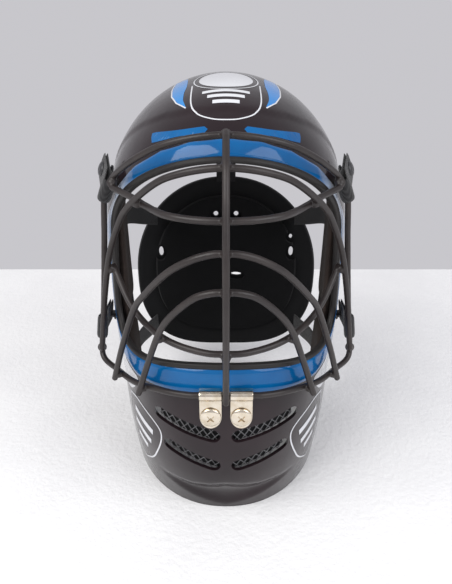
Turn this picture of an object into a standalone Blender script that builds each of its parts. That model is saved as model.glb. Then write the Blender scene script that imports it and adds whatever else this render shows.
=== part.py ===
"""Caged goalie mask for floorball and street hockey, standing on its lower rim.

The mask looks towards -Y, +Z is up and the plane x = 0 is its plane of symmetry. The origin is on the
surface it stands on. A moulded shell holds a wire cage, which hooks under two J-clips at the chin and is
held at its four corners by snap straps. A back plate hangs inside the rear opening on a strap harness.
"""

import math

import bmesh
import bpy
import numpy as np
from mathutils import Matrix, Vector

# ---------------------------------------------------------------- driving dimensions, metres
HEIGHT = 0.350
SHELL_HALF_WIDTH = 0.1035
SHELL_REACH = 0.118
SPRING_LINE = 0.235
WALL = 0.0035
GAP = 0.0003
WIRE_RADIUS = 0.0026
WIRE_SPACING = 0.012
UNDERCUT = 0.010

# Lower shell: height, half width, reach to the front, reach to the back, squareness of the section.
SHELL_STATIONS = (
    (-UNDERCUT, 0.0900, 0.1250, 0.100, 2.10),
    (0.050, 0.0960, 0.1440, 0.105, 2.15),
    (0.110, 0.0990, 0.1470, 0.110, 2.20),
    (0.170, 0.1020, 0.1350, 0.115, 2.30),
    (SPRING_LINE, SHELL_HALF_WIDTH, SHELL_REACH, SHELL_REACH, 2.30),
)
# Crown: how square the dome is seen from the front, along its forehead and along its back.
DOME_SIDE, DOME_FRONT, DOME_BACK = 2.05, 2.90, 2.30
CROWN_SQUARENESS = 2.0

# Face opening, as an egg in the front view.
FACE_CENTRE = 0.2365
FACE_HALF_WIDTH = 0.0925
FACE_TOP, FACE_BOTTOM = 0.310, 0.158
FACE_TOP_SQUARENESS, FACE_BOTTOM_SQUARENESS = 2.0, 6.0
# Below its centre the opening widens by this share, and its corners droop below its middle.
FACE_FLARE, FACE_DROOP, FACE_DROOP_POWER = 0.055, 0.026, 2.5
TRIM_RADIUS = 0.0014

# Back edge of the shell, seen from the side: y and z from the table up to the crown.
BACK_EDGE = ((0.030, -0.020), (0.030, 0.120), (0.036, 0.215), (0.060, 0.262), (0.098, 0.300), (0.150, 0.330))

# Crescent recess in the front of the chin.
DIMPLE_CENTRE, DIMPLE_HALF_WIDTH, DIMPLE_HALF_HEIGHT, DIMPLE_DEPTH = 0.024, 0.062, 0.017, 0.0045

# Vents: x and z of the inner and the outer end of each slot on the left-hand side of the wearer.
VENT_HALF_HEIGHT = 0.0061
VENTS = {"upper": ((0.0105, 0.0960), (0.053, 0.1046)), "lower": ((0.0105, 0.0640), (0.046, 0.0752))}
VENT_MESH_PITCH = 0.0085
VENT_MESH_WIRE = 0.0013
VENT_MESH_THICKNESS = 0.0010
VENT_MESH_RIM = 0.0006
VENT_MESH_MARGIN = 0.0085

# Cage hinge: the straight bottom stretch of the frame wire.
HINGE_Y, HINGE_Z = -0.1485, 0.138
CLIP_X = 0.0121
CLIP_WIDTH = 0.0172
CLIP_SHEET = 0.0012
CLIP_LIP = 0.0035
CLIP_TONGUE = 0.0115
CLIP_SCREW_Z = 0.1165
SCREW_HEAD_RADIUS = 0.0083
SCREW_HEAD_HEIGHT = 0.0030
SCREW_BRIM = 0.0008
SCREW_SHANK_RADIUS = 0.0024
SCREW_LENGTH = 0.0125
RECESS_REACH, RECESS_HALF_WIDTH, RECESS_DEPTH = 0.0036, 0.0007, 0.0020
NUT_FLANGE_RADIUS, NUT_FLANGE = 0.0075, 0.0012
NUT_RADIUS, NUT_BORE, NUT_LENGTH = 0.0046, 0.0027, 0.0050

# Half of each cage wire, from x = 0 or its inner end outwards.
FRAME_WIRE = (
    (0.000, -0.1190, 0.3317), (0.023, -0.1172, 0.3292), (0.0455, -0.1100, 0.3217), (0.065, -0.0955, 0.3088),
    (0.080, -0.0785, 0.2945), (0.0905, -0.0635, 0.2810), (0.0965, -0.0615, 0.2680), (0.0998, -0.0615, 0.2300),
    (0.1046, -0.0635, 0.1750), (0.1088, -0.0665, 0.1360), (0.1072, -0.0730, 0.1225), (0.0925, -0.0905, 0.1215),
    (0.074, -0.1170, 0.1275), (0.048, -0.1385, 0.1345), (0.030, -0.1475, 0.1375), (0.022, HINGE_Y, HINGE_Z),
    (0.011, HINGE_Y, HINGE_Z), (0.000, HINGE_Y, HINGE_Z),
)
OVAL_WIRE = (
    (0.000, -0.1475, 0.3178), (0.0195, -0.1455, 0.3155), (0.0385, -0.1380, 0.3085), (0.0505, -0.1300, 0.3000),
    (0.0635, -0.1180, 0.2865), (0.072, -0.1090, 0.2755), (0.079, -0.1010, 0.2630), (0.091, -0.0885, 0.2310),
    (0.100, -0.0795, 0.1890), (0.1062, -0.0740, 0.1470), (0.1080, -0.0745, 0.1330),
)
BROW_WIRE = (
    (0.000, -0.1650, 0.2880), (0.0215, -0.1620, 0.2878), (0.041, -0.1490, 0.2862), (0.0575, -0.1185, 0.2815),
    (0.068, -0.0985, 0.2795), (0.0880, -0.0725, 0.2790),
)
UPPER_ARCH = (
    (0.000, -0.1715, 0.2681), (0.0105, -0.1712, 0.2672), (0.0245, -0.1680, 0.2612), (0.041, -0.1590, 0.2474),
    (0.0600, -0.1400, 0.2200), (0.0695, -0.1285, 0.2015), (0.083, -0.1120, 0.1600), (0.0945, -0.0985, 0.1185),
)
LOWER_ARCH = (
    (0.000, -0.1742, 0.2411), (0.0105, -0.1739, 0.2402), (0.0225, -0.1700, 0.2340), (0.0385, -0.1600, 0.2150),
    (0.0487, -0.1500, 0.1950), (0.060, -0.1375, 0.1600), (0.0705, -0.1290, 0.1250),
)
VEE_WIRE = (
    (0.000, -0.1620, 0.1845), (0.0145, -0.1611, 0.1848), (0.035, -0.1520, 0.1856), (0.0515, -0.1385, 0.1873),
    (0.0668, -0.1175, 0.1896), (0.0785, -0.1000, 0.1978), (0.0905, -0.0800, 0.2160),
)
CENTRE_WIRE = (
    (-0.1250, 0.3345), (-0.1345, 0.3315), (-0.1535, 0.3205), (-0.1640, 0.3060), (-0.1705, 0.2900),
    (-0.1770, 0.2690), (-0.1800, 0.2420), (-0.1775, 0.2150), (-0.1685, 0.1845), (-0.1590, 0.1600),
    (-0.1541, 0.1400), (-0.1541, 0.1340),
)

# Back plate: an egg-shaped bowl behind the head.
PLATE_CENTRE_Z, PLATE_HALF_HEIGHT, PLATE_HALF_WIDTH = 0.125, 0.103, 0.0965
PLATE_BACK_Y, PLATE_SIDE_SWEEP, PLATE_END_SWEEP = 0.122, 0.032, 0.010
PLATE_TOP_SQUARENESS, PLATE_BOTTOM_SQUARENESS = 2.2, 2.5
PLATE_WALL = 0.0030
LINER_THICKNESS, LINER_SHARE, LINER_LEAD = 0.0040, 0.80, 0.0012
LINER_HOLE_MARGIN = 0.0035
PLATE_HINGE_Y, PLATE_HINGE_Z = 0.0975, 0.300
# Holes through the plate: x, z, half width, half height. The liner's are larger by LINER_HOLE_MARGIN.
PLATE_HOLES = (
    (-0.011, 0.1845, 0.0026, 0.0032), (0.011, 0.1845, 0.0026, 0.0032), (-0.071, 0.146, 0.0024, 0.0060),
    (0.071, 0.146, 0.0024, 0.0060), (0.0115, 0.110, 0.0060, 0.0022), (0.0700, 0.164, 0.0018, 0.0030),
)

STRAP_THICKNESS = 0.0016
STRAP_WIDTH = 0.020
SNAP_DISTANCE = 0.027
SNAP_TAIL, SNAP_LEAD = 0.009, 0.011
SNAP_RADIUS = 0.0062
# Cage straps: height on the frame wire, x of the snap, and how loosely the fold goes round the wire.
CAGE_STRAPS = {"temple": (0.2740, 0.1030, 0.0014), "lower": (0.1500, 0.1060, 0.0006)}
# Harness straps: height of the end on the shell, then x and z of the end on the back plate.
HARNESS_STRAPS = {"upper": (0.215, 0.0730, 0.190), "lower": (0.078, 0.0780, 0.062)}
HARNESS_ANCHOR_Y, HARNESS_LEAVE_Y = 0.016, 0.036

PAD_THICKNESS = 0.009
PAD_INSET = WALL + 0.0012
# Pads in the middle: angles in degrees, heights, steps each way, thickness and distance inside the shell.
MIDDLE_PADS = {
    "forehead_pad": ((-44, 44), (0.3145, 0.3310), (10, 3), PAD_THICKNESS, PAD_INSET),
    "chin_pad": ((-32, 32), (0.014, 0.042), (8, 3), 0.007, PAD_INSET + 0.0030),
}
# Pads on both sides: angles, heights and steps each way.
SIDE_PADS = {"temple_pad": ((66, 95), (0.140, 0.292), (5, 8)), "jaw_pad": ((44, 95), (0.060, 0.126), (7, 4))}
CROWN_PAD_DEPTH = 0.014
VENT_MESH_INSET = WALL + 0.0015

# The shapes above put y = 0 under the middle of the crown. At the end everything slides back by this much,
# which puts the origin under the middle of the whole mask.
SLIDE_BACK = 0.0303

# ---------------------------------------------------------------- colours: colour, roughness, metallic
FINISHES = {
    "gloss_black_shell": ((0.012, 0.011, 0.013), 0.12, 0.0),
    "coated_cage_wire": ((0.020, 0.017, 0.017), 0.38, 0.0),
    "nickel_plate": ((0.72, 0.66, 0.54), 0.24, 1.0),
    "galvanised_steel": ((0.55, 0.56, 0.57), 0.38, 1.0),
    "grey_mesh": ((0.16, 0.16, 0.17), 0.45, 0.2),
    "edge_rubber": ((0.012, 0.011, 0.011), 0.60, 0.0),
    "brown_foam": ((0.045, 0.030, 0.026), 0.92, 0.0),
    "matte_black_plate": ((0.010, 0.010, 0.011), 0.70, 0.0),
    "black_foam": ((0.008, 0.008, 0.009), 0.95, 0.0),
    "black_webbing": ((0.012, 0.012, 0.013), 0.85, 0.0),
    "black_snap": ((0.030, 0.030, 0.032), 0.35, 0.6),
}


# ---------------------------------------------------------------- scene helpers
def clear_scene():
    for old in list(bpy.data.objects):
        bpy.data.objects.remove(old, do_unlink=True)


def new_collection(name, hidden=False):
    made = bpy.data.collections.new(name)
    made.hide_render = hidden
    bpy.context.scene.collection.children.link(made)
    return made


def finish(name):
    material = bpy.data.materials.get(name)
    if material is None:
        colour, roughness, metallic = FINISHES[name]
        material = bpy.data.materials.new(name)
        material.use_nodes = True
        shader = material.node_tree.nodes["Principled BSDF"]
        shader.inputs["Base Color"].default_value = (*colour, 1.0)
        shader.inputs["Roughness"].default_value = roughness
        shader.inputs["Metallic"].default_value = metallic
    return material


def add_object(name, data, finish_name, parent=None):
    made = bpy.data.objects.new(name, data)
    PARTS.objects.link(made)
    if finish_name:
        data.materials.append(finish(finish_name))
    if parent is not None:
        made.parent = parent
        made.matrix_parent_inverse = parent.matrix_world.inverted()
    return made


def add_pivot(name, location):
    pivot = bpy.data.objects.new(name, None)
    pivot.empty_display_size = 0.02
    pivot.location = location
    PARTS.objects.link(pivot)
    bpy.context.view_layer.update()
    return pivot


def hide_cutter(cutter):
    for collection in cutter.users_collection:
        collection.objects.unlink(cutter)
    CUTTERS.objects.link(cutter)
    cutter.hide_render = True
    cutter.display_type = "WIRE"
    return cutter


def solidify(target, thickness, offset=-1.0):
    modifier = target.modifiers.new("Wall", "SOLIDIFY")
    modifier.thickness = thickness
    modifier.offset = offset
    modifier.use_even_offset = True
    return modifier


def cut(target, cutter):
    modifier = target.modifiers.new(cutter.name, "BOOLEAN")
    modifier.operation = "DIFFERENCE"
    modifier.solver = "EXACT"
    modifier.object = cutter


def mirrored(point, side):
    return Vector((side * point[0], point[1], point[2]))


# ---------------------------------------------------------------- curves and surfaces
def signed_power(value, power):
    return math.copysign(abs(value) ** power, value)


def through_stations(stations, column, at):
    """A smooth value between the stations' values, by cubic Hermite spans."""
    places = np.array([row[0] for row in stations])
    values = np.array([row[column] for row in stations])
    slopes = np.gradient(values, places)
    span = int(np.clip(np.searchsorted(places, at) - 1, 0, len(places) - 2))
    width = places[span + 1] - places[span]
    u = (at - places[span]) / width
    return float(
        (2 * u**3 - 3 * u**2 + 1) * values[span]
        + (u**3 - 2 * u**2 + u) * width * slopes[span]
        + (3 * u**2 - 2 * u**3) * values[span + 1]
        + (u**3 - u**2) * width * slopes[span + 1]
    )


def curve_span(before, start, end, after, spacing):
    """Points of a Catmull-Rom curve from start up to end, about spacing apart."""
    count = max(1, round((end - start).length / spacing))
    bend = 2 * before - 5 * start + 4 * end - after
    twist = 3 * start - before - 3 * end + after
    shares = [step / count for step in range(count)]
    return [0.5 * (2 * start + (end - before) * u + bend * u**2 + twist * u**3) for u in shares]


def smooth_path(points, spacing):
    """A curve through the points."""
    knots = [Vector(p) for p in points]
    knots = [2 * knots[0] - knots[1], *knots, 2 * knots[-1] - knots[-2]]
    path = []
    for span in zip(knots, knots[1:], knots[2:], knots[3:]):
        path += curve_span(*span, spacing)
    return [*path, knots[-2]]


def smooth_loop(points, spacing):
    """A closed curve through the points."""
    knots = [Vector(p) for p in points]
    path = []
    for i in range(len(knots)):
        span = [knots[(i + step) % len(knots)] for step in (-1, 0, 1, 2)]
        path += curve_span(*span, spacing)
    return path


def both_sides(half):
    """A path given from x = 0 outwards, carried through the plane of symmetry."""
    return [(-x, y, z) for x, y, z in reversed(half[1:])] + list(half)


def section_point(angle, half_width, front, back, squareness):
    reach = front if math.cos(angle) > 0 else back
    x = half_width * signed_power(math.sin(angle), 2 / squareness)
    y = -reach * signed_power(math.cos(angle), 2 / squareness)
    return x, y


def dimple_depth(x, z):
    across = abs(x) / DIMPLE_HALF_WIDTH
    # The recess droops in the middle and rises towards its tips.
    up = (z - DIMPLE_CENTRE - 0.010 * across**2) / (DIMPLE_HALF_HEIGHT * max(1 - across, 0.05))
    if across >= 1 or abs(up) >= 1:
        return 0.0
    return DIMPLE_DEPTH * (1 - across**2) * math.cos(0.5 * math.pi * up) ** 0.8


def shell_point(angle, height):
    """A point on the outside of the shell. Angle 0 is the front and 90 degrees is at +X."""
    if height <= SPRING_LINE:
        half_width, front, back, squareness = (
            through_stations(SHELL_STATIONS, column, height) for column in (1, 2, 3, 4)
        )
    else:
        rise = min(1.0, (height - SPRING_LINE) / (HEIGHT - SPRING_LINE))
        half_width = SHELL_HALF_WIDTH * (1 - rise**DOME_SIDE) ** (1 / DOME_SIDE)
        front = SHELL_REACH * (1 - rise**DOME_FRONT) ** (1 / DOME_FRONT)
        back = SHELL_REACH * (1 - rise**DOME_BACK) ** (1 / DOME_BACK)
        squareness = SHELL_STATIONS[-1][4] + (CROWN_SQUARENESS - SHELL_STATIONS[-1][4]) * rise
    x, y = section_point(angle, half_width, front, back, squareness)
    if y < 0:
        y += dimple_depth(x, height)
    return Vector((x, y, height))


def shell_normal(angle, height):
    """Outward, from two small steps along the surface."""
    step = 0.001
    low = min(height, HEIGHT - 3 * step)
    across = shell_point(angle + step, low) - shell_point(angle - step, low)
    up = shell_point(angle, low + step) - shell_point(angle, low - step)
    return across.cross(up).normalized()


def inside_shell(angle, height, inset):
    return shell_point(angle, height) - inset * shell_normal(angle, height)


def angle_at(x, height):
    """The angle at which the front of the shell is x from the plane of symmetry."""
    low, high = 0.0, 0.5 * math.pi
    for _ in range(40):
        middle = 0.5 * (low + high)
        if shell_point(middle, height).x < abs(x):
            low = middle
        else:
            high = middle
    return math.copysign(0.5 * (low + high), x)


def egg(steps, half_width, centre, top, bottom, top_squareness, bottom_squareness):
    """An egg-shaped outline in x and z, anticlockwise in the front view."""
    outline = []
    for step in range(steps):
        turn = 2 * math.pi * step / steps
        squareness = top_squareness if math.sin(turn) >= 0 else bottom_squareness
        reach = top - centre if math.sin(turn) >= 0 else centre - bottom
        x = half_width * signed_power(math.cos(turn), 2 / squareness)
        z = centre + reach * signed_power(math.sin(turn), 2 / squareness)
        outline.append((x, z))
    return outline


FACE = {
    "half_width": FACE_HALF_WIDTH,
    "centre": FACE_CENTRE,
    "top": FACE_TOP,
    "bottom": FACE_BOTTOM,
    "top_squareness": FACE_TOP_SQUARENESS,
    "bottom_squareness": FACE_BOTTOM_SQUARENESS,
}


def drooped(x, z):
    """A point of the face opening's egg, widened and let down at the lower corners."""
    depth = max(0.0, (FACE_CENTRE - z) / (FACE_CENTRE - FACE_BOTTOM))
    droop = FACE_DROOP * depth * (abs(x) / FACE_HALF_WIDTH) ** FACE_DROOP_POWER
    return x * (1 + FACE_FLARE * depth), z - droop


def face_outline(steps, inset=0.0):
    """The face opening's outline, with its points evenly spaced and moved inwards by inset."""
    fine = np.array([drooped(x, z) for x, z in egg(720, **FACE)])
    fine = np.vstack([fine, fine[:1]])
    along = np.concatenate([[0], np.cumsum(np.linalg.norm(np.diff(fine, axis=0), axis=1))])
    wanted = np.linspace(0, along[-1], steps, endpoint=False)
    points = np.stack([np.interp(wanted, along, fine[:, axis]) for axis in (0, 1)], axis=1)
    ahead = np.roll(points, -1, axis=0) - np.roll(points, 1, axis=0)
    inward = np.stack([-ahead[:, 1], ahead[:, 0]], axis=1)
    inward /= np.linalg.norm(inward, axis=1)[:, None]
    return points + inset * inward


# ---------------------------------------------------------------- mesh builders
def mesh_of(name, rows, closed=False):
    """A mesh over rows of points. With closed, each row runs all the way round."""
    work = bmesh.new()
    grid = [[work.verts.new(point) for point in row] for row in rows]
    for low, high in zip(grid, grid[1:]):
        count = len(low)
        for i in range(count if closed else count - 1):
            j = (i + 1) % count
            work.faces.new((low[i], low[j], high[j], high[i]))
    bmesh.ops.remove_doubles(work, verts=work.verts, dist=1e-6)
    bmesh.ops.recalc_face_normals(work, faces=work.faces)
    data = bpy.data.meshes.new(name)
    work.to_mesh(data)
    work.free()
    return data


def smooth_shading(target, degrees=40):
    target.data.shade_smooth()
    target.data.set_sharp_from_angle(angle=math.radians(degrees))


def face_outwards(data, inside):
    """Turns the faces so that they look away from the point inside."""
    work = bmesh.new()
    work.from_mesh(data)
    outward = sum(
        face.normal.dot(face.calc_center_median() - Vector(inside)) * face.calc_area() for face in work.faces
    )
    if outward < 0:
        bmesh.ops.reverse_faces(work, faces=work.faces)
    work.to_mesh(data)
    work.free()


def wire(name, path, finish_name, radius=WIRE_RADIUS, parent=None, cyclic=False):
    """A round wire or bead along a path."""
    curve = bpy.data.curves.new(name, "CURVE")
    curve.dimensions = "3D"
    curve.bevel_depth = radius
    curve.bevel_resolution = 2
    curve.use_fill_caps = not cyclic
    spline = curve.splines.new("POLY")
    spline.points.add(len(path) - 1)
    for place, point in zip(spline.points, path):
        place.co = (*point, 1.0)
    spline.use_cyclic_u = cyclic
    return add_object(name, curve, finish_name, parent)


def band(name, path, across, widths, thickness, finish_name, parent=None, offset=0.0):
    """A strip of sheet along a path. across is its width direction, and widths its width at each point."""
    across = Vector(across).normalized()
    if not hasattr(widths, "__len__"):
        widths = [widths] * len(path)
    rows = [[Vector(p) + across * w * side for side in (-0.5, 0.0, 0.5)] for p, w in zip(path, widths)]
    made = add_object(name, mesh_of(name, rows), finish_name, parent)
    solidify(made, thickness, offset)
    return made


def turned(name, profile, place, axis, finish_name, parent=None, steps=12):
    """A profile of (radius, distance along axis) turned once. axis points from the part's back to its front."""
    data = bpy.data.meshes.new(name)
    work = bmesh.new()
    corners = [work.verts.new((radius, 0.0, along)) for radius, along in profile]
    closed = profile[0][0] > 0 and profile[-1][0] > 0
    for start, end in zip(corners, corners[1:]):
        work.edges.new((start, end))
    if closed:
        work.edges.new((corners[-1], corners[0]))
    work.to_mesh(data)
    work.free()
    made = add_object(name, data, finish_name)
    screw = made.modifiers.new("Turn", "SCREW")
    screw.axis = "Z"
    screw.steps = steps
    screw.render_steps = steps
    screw.use_merge_vertices = True
    screw.merge_threshold = 1e-5
    screw.use_smooth_shade = True
    turn = Vector((0, 0, 1)).rotation_difference(Vector(axis))
    made.matrix_world = Matrix.Translation(Vector(place)) @ turn.to_matrix().to_4x4()
    if parent is not None:
        world = made.matrix_world.copy()
        made.parent = parent
        made.matrix_parent_inverse = parent.matrix_world.inverted()
        made.matrix_world = world
    return made


def prism(name, outline, low, high, axis):
    """A closed prism of an outline: x, z pushed along Y, or y, z pushed along X."""
    data = bpy.data.meshes.new(name)
    work = bmesh.new()
    if axis == "Y":
        ring = [work.verts.new((a, low, b)) for a, b in outline]
        push = Vector((0, high - low, 0))
    else:
        ring = [work.verts.new((low, a, b)) for a, b in outline]
        push = Vector((high - low, 0, 0))
    cap = work.faces.new(ring)
    extruded = bmesh.ops.extrude_face_region(work, geom=[cap], use_keep_orig=True)
    moved = [item for item in extruded["geom"] if isinstance(item, bmesh.types.BMVert)]
    bmesh.ops.translate(work, verts=moved, vec=push)
    bmesh.ops.recalc_face_normals(work, faces=work.faces)
    work.to_mesh(data)
    work.free()
    return hide_cutter(add_object(name, data, None))


def joined_cutter(name, pieces):
    """One cutter made of several closed prisms that don't touch each other."""
    work = bmesh.new()
    for piece in pieces:
        data = piece.data
        work.from_mesh(data)
        bpy.data.objects.remove(piece, do_unlink=True)
        bpy.data.meshes.remove(data)
    data = bpy.data.meshes.new(name)
    work.to_mesh(data)
    work.free()
    return hide_cutter(add_object(name, data, None))


def pill(inner, outer, half_height, steps=6):
    """The outline of a slot with round ends from one point to another, in x and z."""
    start, end = Vector(inner), Vector(outer)
    heading = math.atan2(end.y - start.y, end.x - start.x)
    outline = []
    for centre, turn in ((end, heading - 0.5 * math.pi), (start, heading + 0.5 * math.pi)):
        for step in range(steps + 1):
            angle = turn + math.pi * step / steps
            outline.append((centre.x + half_height * math.cos(angle), centre.y + half_height * math.sin(angle)))
    return outline


def ellipse(x, z, half_width, half_height, steps=12):
    turns = [2 * math.pi * step / steps for step in range(steps)]
    return [(x + half_width * math.cos(turn), z + half_height * math.sin(turn)) for turn in turns]


# ---------------------------------------------------------------- shell
def make_shell():
    around = 44
    body_rows, dome_rows = 9, 9
    heights = [-UNDERCUT + (SPRING_LINE + UNDERCUT) * i / body_rows for i in range(body_rows)]
    for i in range(dome_rows):
        heights.append(SPRING_LINE + (HEIGHT - SPRING_LINE) * math.sin(0.5 * math.pi * i / dome_rows))
    rows = [[shell_point(2 * math.pi * i / around, height) for i in range(around)] for height in heights]
    rows.append([Vector((0, 0, HEIGHT))] * around)
    data = mesh_of("shell", rows, closed=True)
    face_outwards(data, (0, 0, SPRING_LINE))
    shell = add_object("shell", data, "gloss_black_shell")
    solidify(shell, WALL)
    cut(shell, prism("cut_face", face_outline(64), -0.30, -0.02, "Y"))
    back = [(p.x, p.y) for p in smooth_path([Vector((y, z, 0)) for y, z in BACK_EDGE], 0.02)]
    back += [(0.30, BACK_EDGE[-1][1]), (0.30, BACK_EDGE[0][1])]
    cut(shell, prism("cut_back", back, -0.20, 0.20, "X"))
    under = [(-0.2, -0.05), (0.2, -0.05), (0.2, 0.0), (-0.2, 0.0)]
    cut(shell, prism("cut_rim", under, -0.25, 0.25, "X"))
    slots = []
    for row, (inner, outer) in VENTS.items():
        for side in (1, -1):
            outline = pill((side * inner[0], inner[1]), (side * outer[0], outer[1]), VENT_HALF_HEIGHT)
            slots.append(prism(f"slot_{row}_{side}", outline, -0.25, -0.06, "Y"))
    for side in (1, -1):
        hole = ellipse(side * CLIP_X, CLIP_SCREW_Z, SCREW_SHANK_RADIUS + GAP, SCREW_SHANK_RADIUS + GAP)
        slots.append(prism(f"screw_hole_{side}", hole, -0.25, -0.06, "Y"))
    cut(shell, joined_cutter("cut_vents", slots))
    smooth_shading(shell)


def make_edge_trim():
    """A rubber bead that finishes the edge of the face opening, just inside it."""
    path = [inside_shell(angle_at(x, z), z, 0.5 * WALL) for x, z in face_outline(80, TRIM_RADIUS + 2 * GAP)]
    wire("face_opening_trim", path, "edge_rubber", radius=TRIM_RADIUS, cyclic=True)


def make_vent_mesh(row, side):
    """A stamped diamond mesh behind one vent, bent to the inside of the chin."""
    inner, outer = VENTS[row]
    half = 0.5 * (VENT_MESH_PITCH - VENT_MESH_WIRE)
    slope = (outer[1] - inner[1]) / (outer[0] - inner[0])
    reach = VENT_HALF_HEIGHT + half + VENT_MESH_RIM
    low_x, high_x = inner[0] - VENT_MESH_MARGIN, outer[0] + VENT_MESH_MARGIN
    rows = []
    for up in (-reach, 0.0, reach):
        line = []
        for step in range(9):
            x = low_x + (high_x - low_x) * step / 8
            z = inner[1] + slope * (x - inner[0]) + up
            line.append(inside_shell(angle_at(side * x, z), z, VENT_MESH_INSET))
        rows.append(line)
    name = f"vent_mesh_{row}_{'left' if side > 0 else 'right'}"
    data = mesh_of(name, rows)
    face_outwards(data, (0, 0.1, inner[1]))
    mesh = add_object(name, data, "grey_mesh")
    solidify(mesh, VENT_MESH_THICKNESS)
    holes = []
    last_column = int((outer[0] - inner[0]) / (0.5 * VENT_MESH_PITCH)) + 1
    for column in range(last_column):
        x = inner[0] + 0.5 * VENT_MESH_PITCH * (column + 0.5)
        for level in range(-2, 8):
            z = inner[1] + 0.5 * VENT_MESH_PITCH * (level - 0.5)
            off_axis = abs(z - inner[1] - slope * (x - inner[0]))
            if (column + level) % 2 or off_axis > VENT_HALF_HEIGHT:
                continue
            corners = [(x + half * a, z + half * b) for a, b in ((1, 0), (0, 1), (-1, 0), (0, -1))]
            diamond = [(side * a, b) for a, b in corners]
            holes.append(prism(f"diamond_{column}_{level}", diamond, -0.25, -0.06, "Y"))
    cut(mesh, joined_cutter(f"cut_{name}", holes))


# ---------------------------------------------------------------- padding
def make_pad(name, angles, heights, grid, thickness=PAD_THICKNESS, inset=PAD_INSET, side=1):
    """A foam pad on the inside of the shell between two angles, in degrees, and two heights."""
    columns, rows = grid
    lines = []
    for row in range(rows + 1):
        height = heights[0] + (heights[1] - heights[0]) * row / rows
        line = []
        for column in range(columns + 1):
            angle = math.radians(angles[0] + (angles[1] - angles[0]) * column / columns)
            line.append(inside_shell(side * angle, height, inset))
        lines.append(line)
    data = mesh_of(name, lines)
    face_outwards(data, (0, 0, 0.5 * (heights[0] + heights[1])))
    pad = add_object(name, data, "brown_foam")
    solidify(pad, thickness)
    smooth_shading(pad)


def make_crown_pad():
    around, rings = 20, 4
    low, high = HEIGHT - CROWN_PAD_DEPTH, HEIGHT - 4 * GAP
    rows = []
    for ring in range(rings):
        height = low + (high - low) * math.sin(0.5 * math.pi * ring / rings)
        rows.append([inside_shell(2 * math.pi * i / around, height, PAD_INSET) for i in range(around)])
    rows.append([Vector((0, 0, HEIGHT - PAD_INSET - GAP))] * around)
    data = mesh_of("crown_pad", rows, closed=True)
    face_outwards(data, (0, 0, SPRING_LINE))
    pad = add_object("crown_pad", data, "brown_foam")
    solidify(pad, PAD_THICKNESS)
    smooth_shading(pad)


def make_padding():
    make_crown_pad()
    for name, sizes in MIDDLE_PADS.items():
        make_pad(name, *sizes)
    for name, sizes in SIDE_PADS.items():
        make_pad(f"{name}_left", *sizes, side=1)
        make_pad(f"{name}_right", *sizes, side=-1)


# ---------------------------------------------------------------- cage
def make_cage(pivot):
    frame = smooth_loop(both_sides(FRAME_WIRE)[:-1], WIRE_SPACING)
    wire("cage_frame_wire", frame, "coated_cage_wire", parent=pivot, cyclic=True)
    open_wires = {
        "oval": both_sides(OVAL_WIRE),
        "brow": both_sides(BROW_WIRE),
        "upper_arch": both_sides(UPPER_ARCH),
        "lower_arch": both_sides(LOWER_ARCH),
        "vee": both_sides(VEE_WIRE),
        "centre": [(0, y, z) for y, z in CENTRE_WIRE],
    }
    for name, points in open_wires.items():
        path = smooth_path(points, WIRE_SPACING)
        wire(f"cage_{name}_wire", path, "coated_cage_wire", parent=pivot)


def make_chin_clip(side, hand):
    """A bent sheet clip: a lip above the frame wire, a saddle over it, and a tongue under the screw."""
    surface = shell_point(0.0, CLIP_SCREW_Z).y - GAP - 0.5 * CLIP_SHEET
    play = 0.0004
    saddle = WIRE_RADIUS + play + 0.5 * CLIP_SHEET
    path = [(HINGE_Y + CLIP_LIP, HINGE_Z + saddle), (HINGE_Y, HINGE_Z + saddle)]
    for step in range(1, 9):
        turn = math.pi * step / 8
        path.append((HINGE_Y - saddle * math.sin(turn), HINGE_Z + saddle * math.cos(turn)))
    # Below the wire the sheet folds back against the shell.
    path[-1] = (HINGE_Y - 0.2 * saddle, HINGE_Z - saddle - play)
    path.append((surface, HINGE_Z - saddle - 0.0022))
    path.append((surface, CLIP_SCREW_Z))
    widths = [CLIP_WIDTH] * len(path)
    for step in range(1, 7):
        turn = 0.5 * math.pi * step / 6.4
        path.append((surface, CLIP_SCREW_Z - CLIP_TONGUE * math.sin(turn)))
        widths.append(CLIP_WIDTH * math.cos(turn))
    points = [(side * CLIP_X, y, z) for y, z in path]
    clip = band(f"chin_clip_{hand}", points, (1, 0, 0), widths, CLIP_SHEET, "nickel_plate")
    hole = ellipse(side * CLIP_X, CLIP_SCREW_Z, SCREW_SHANK_RADIUS + GAP, SCREW_SHANK_RADIUS + GAP)
    cut(clip, prism(f"cut_clip_{hand}", hole, -0.25, -0.06, "Y"))
    smooth_shading(clip)
    return surface - 0.5 * CLIP_SHEET


def make_chin_screw(side, hand, seat):
    """A truss-head screw with a cross recess."""
    radius, height, shank = SCREW_HEAD_RADIUS, SCREW_HEAD_HEIGHT, SCREW_SHANK_RADIUS
    rise = height - SCREW_BRIM
    dome = [(radius * math.cos(turn), SCREW_BRIM + rise * math.sin(turn)) for turn in (1.25, 0.9, 0.45, 0.0)]
    profile = [(0.0, height), *dome, (radius, 0.0), (shank, 0.0), (shank, -SCREW_LENGTH), (0.0, -SCREW_LENGTH)]
    place = Vector((side * CLIP_X, seat - GAP, CLIP_SCREW_Z))
    screw = turned(f"chin_screw_{hand}", profile, place, (0, -1, 0), "nickel_plate", steps=24)
    face = place.y - height
    for number, tilt in enumerate((0.25 * math.pi, 0.75 * math.pi)):
        along = Vector((math.cos(tilt), math.sin(tilt))) * RECESS_REACH
        aside = Vector((-math.sin(tilt), math.cos(tilt))) * RECESS_HALF_WIDTH
        middle = Vector((place.x, place.z))
        blade = [middle + along * a + aside * b for a, b in ((1, 1), (-1, 1), (-1, -1), (1, -1))]
        cut(screw, prism(f"cut_cross_{hand}_{number}", blade, face - 0.002, face + RECESS_DEPTH, "Y"))


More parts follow.
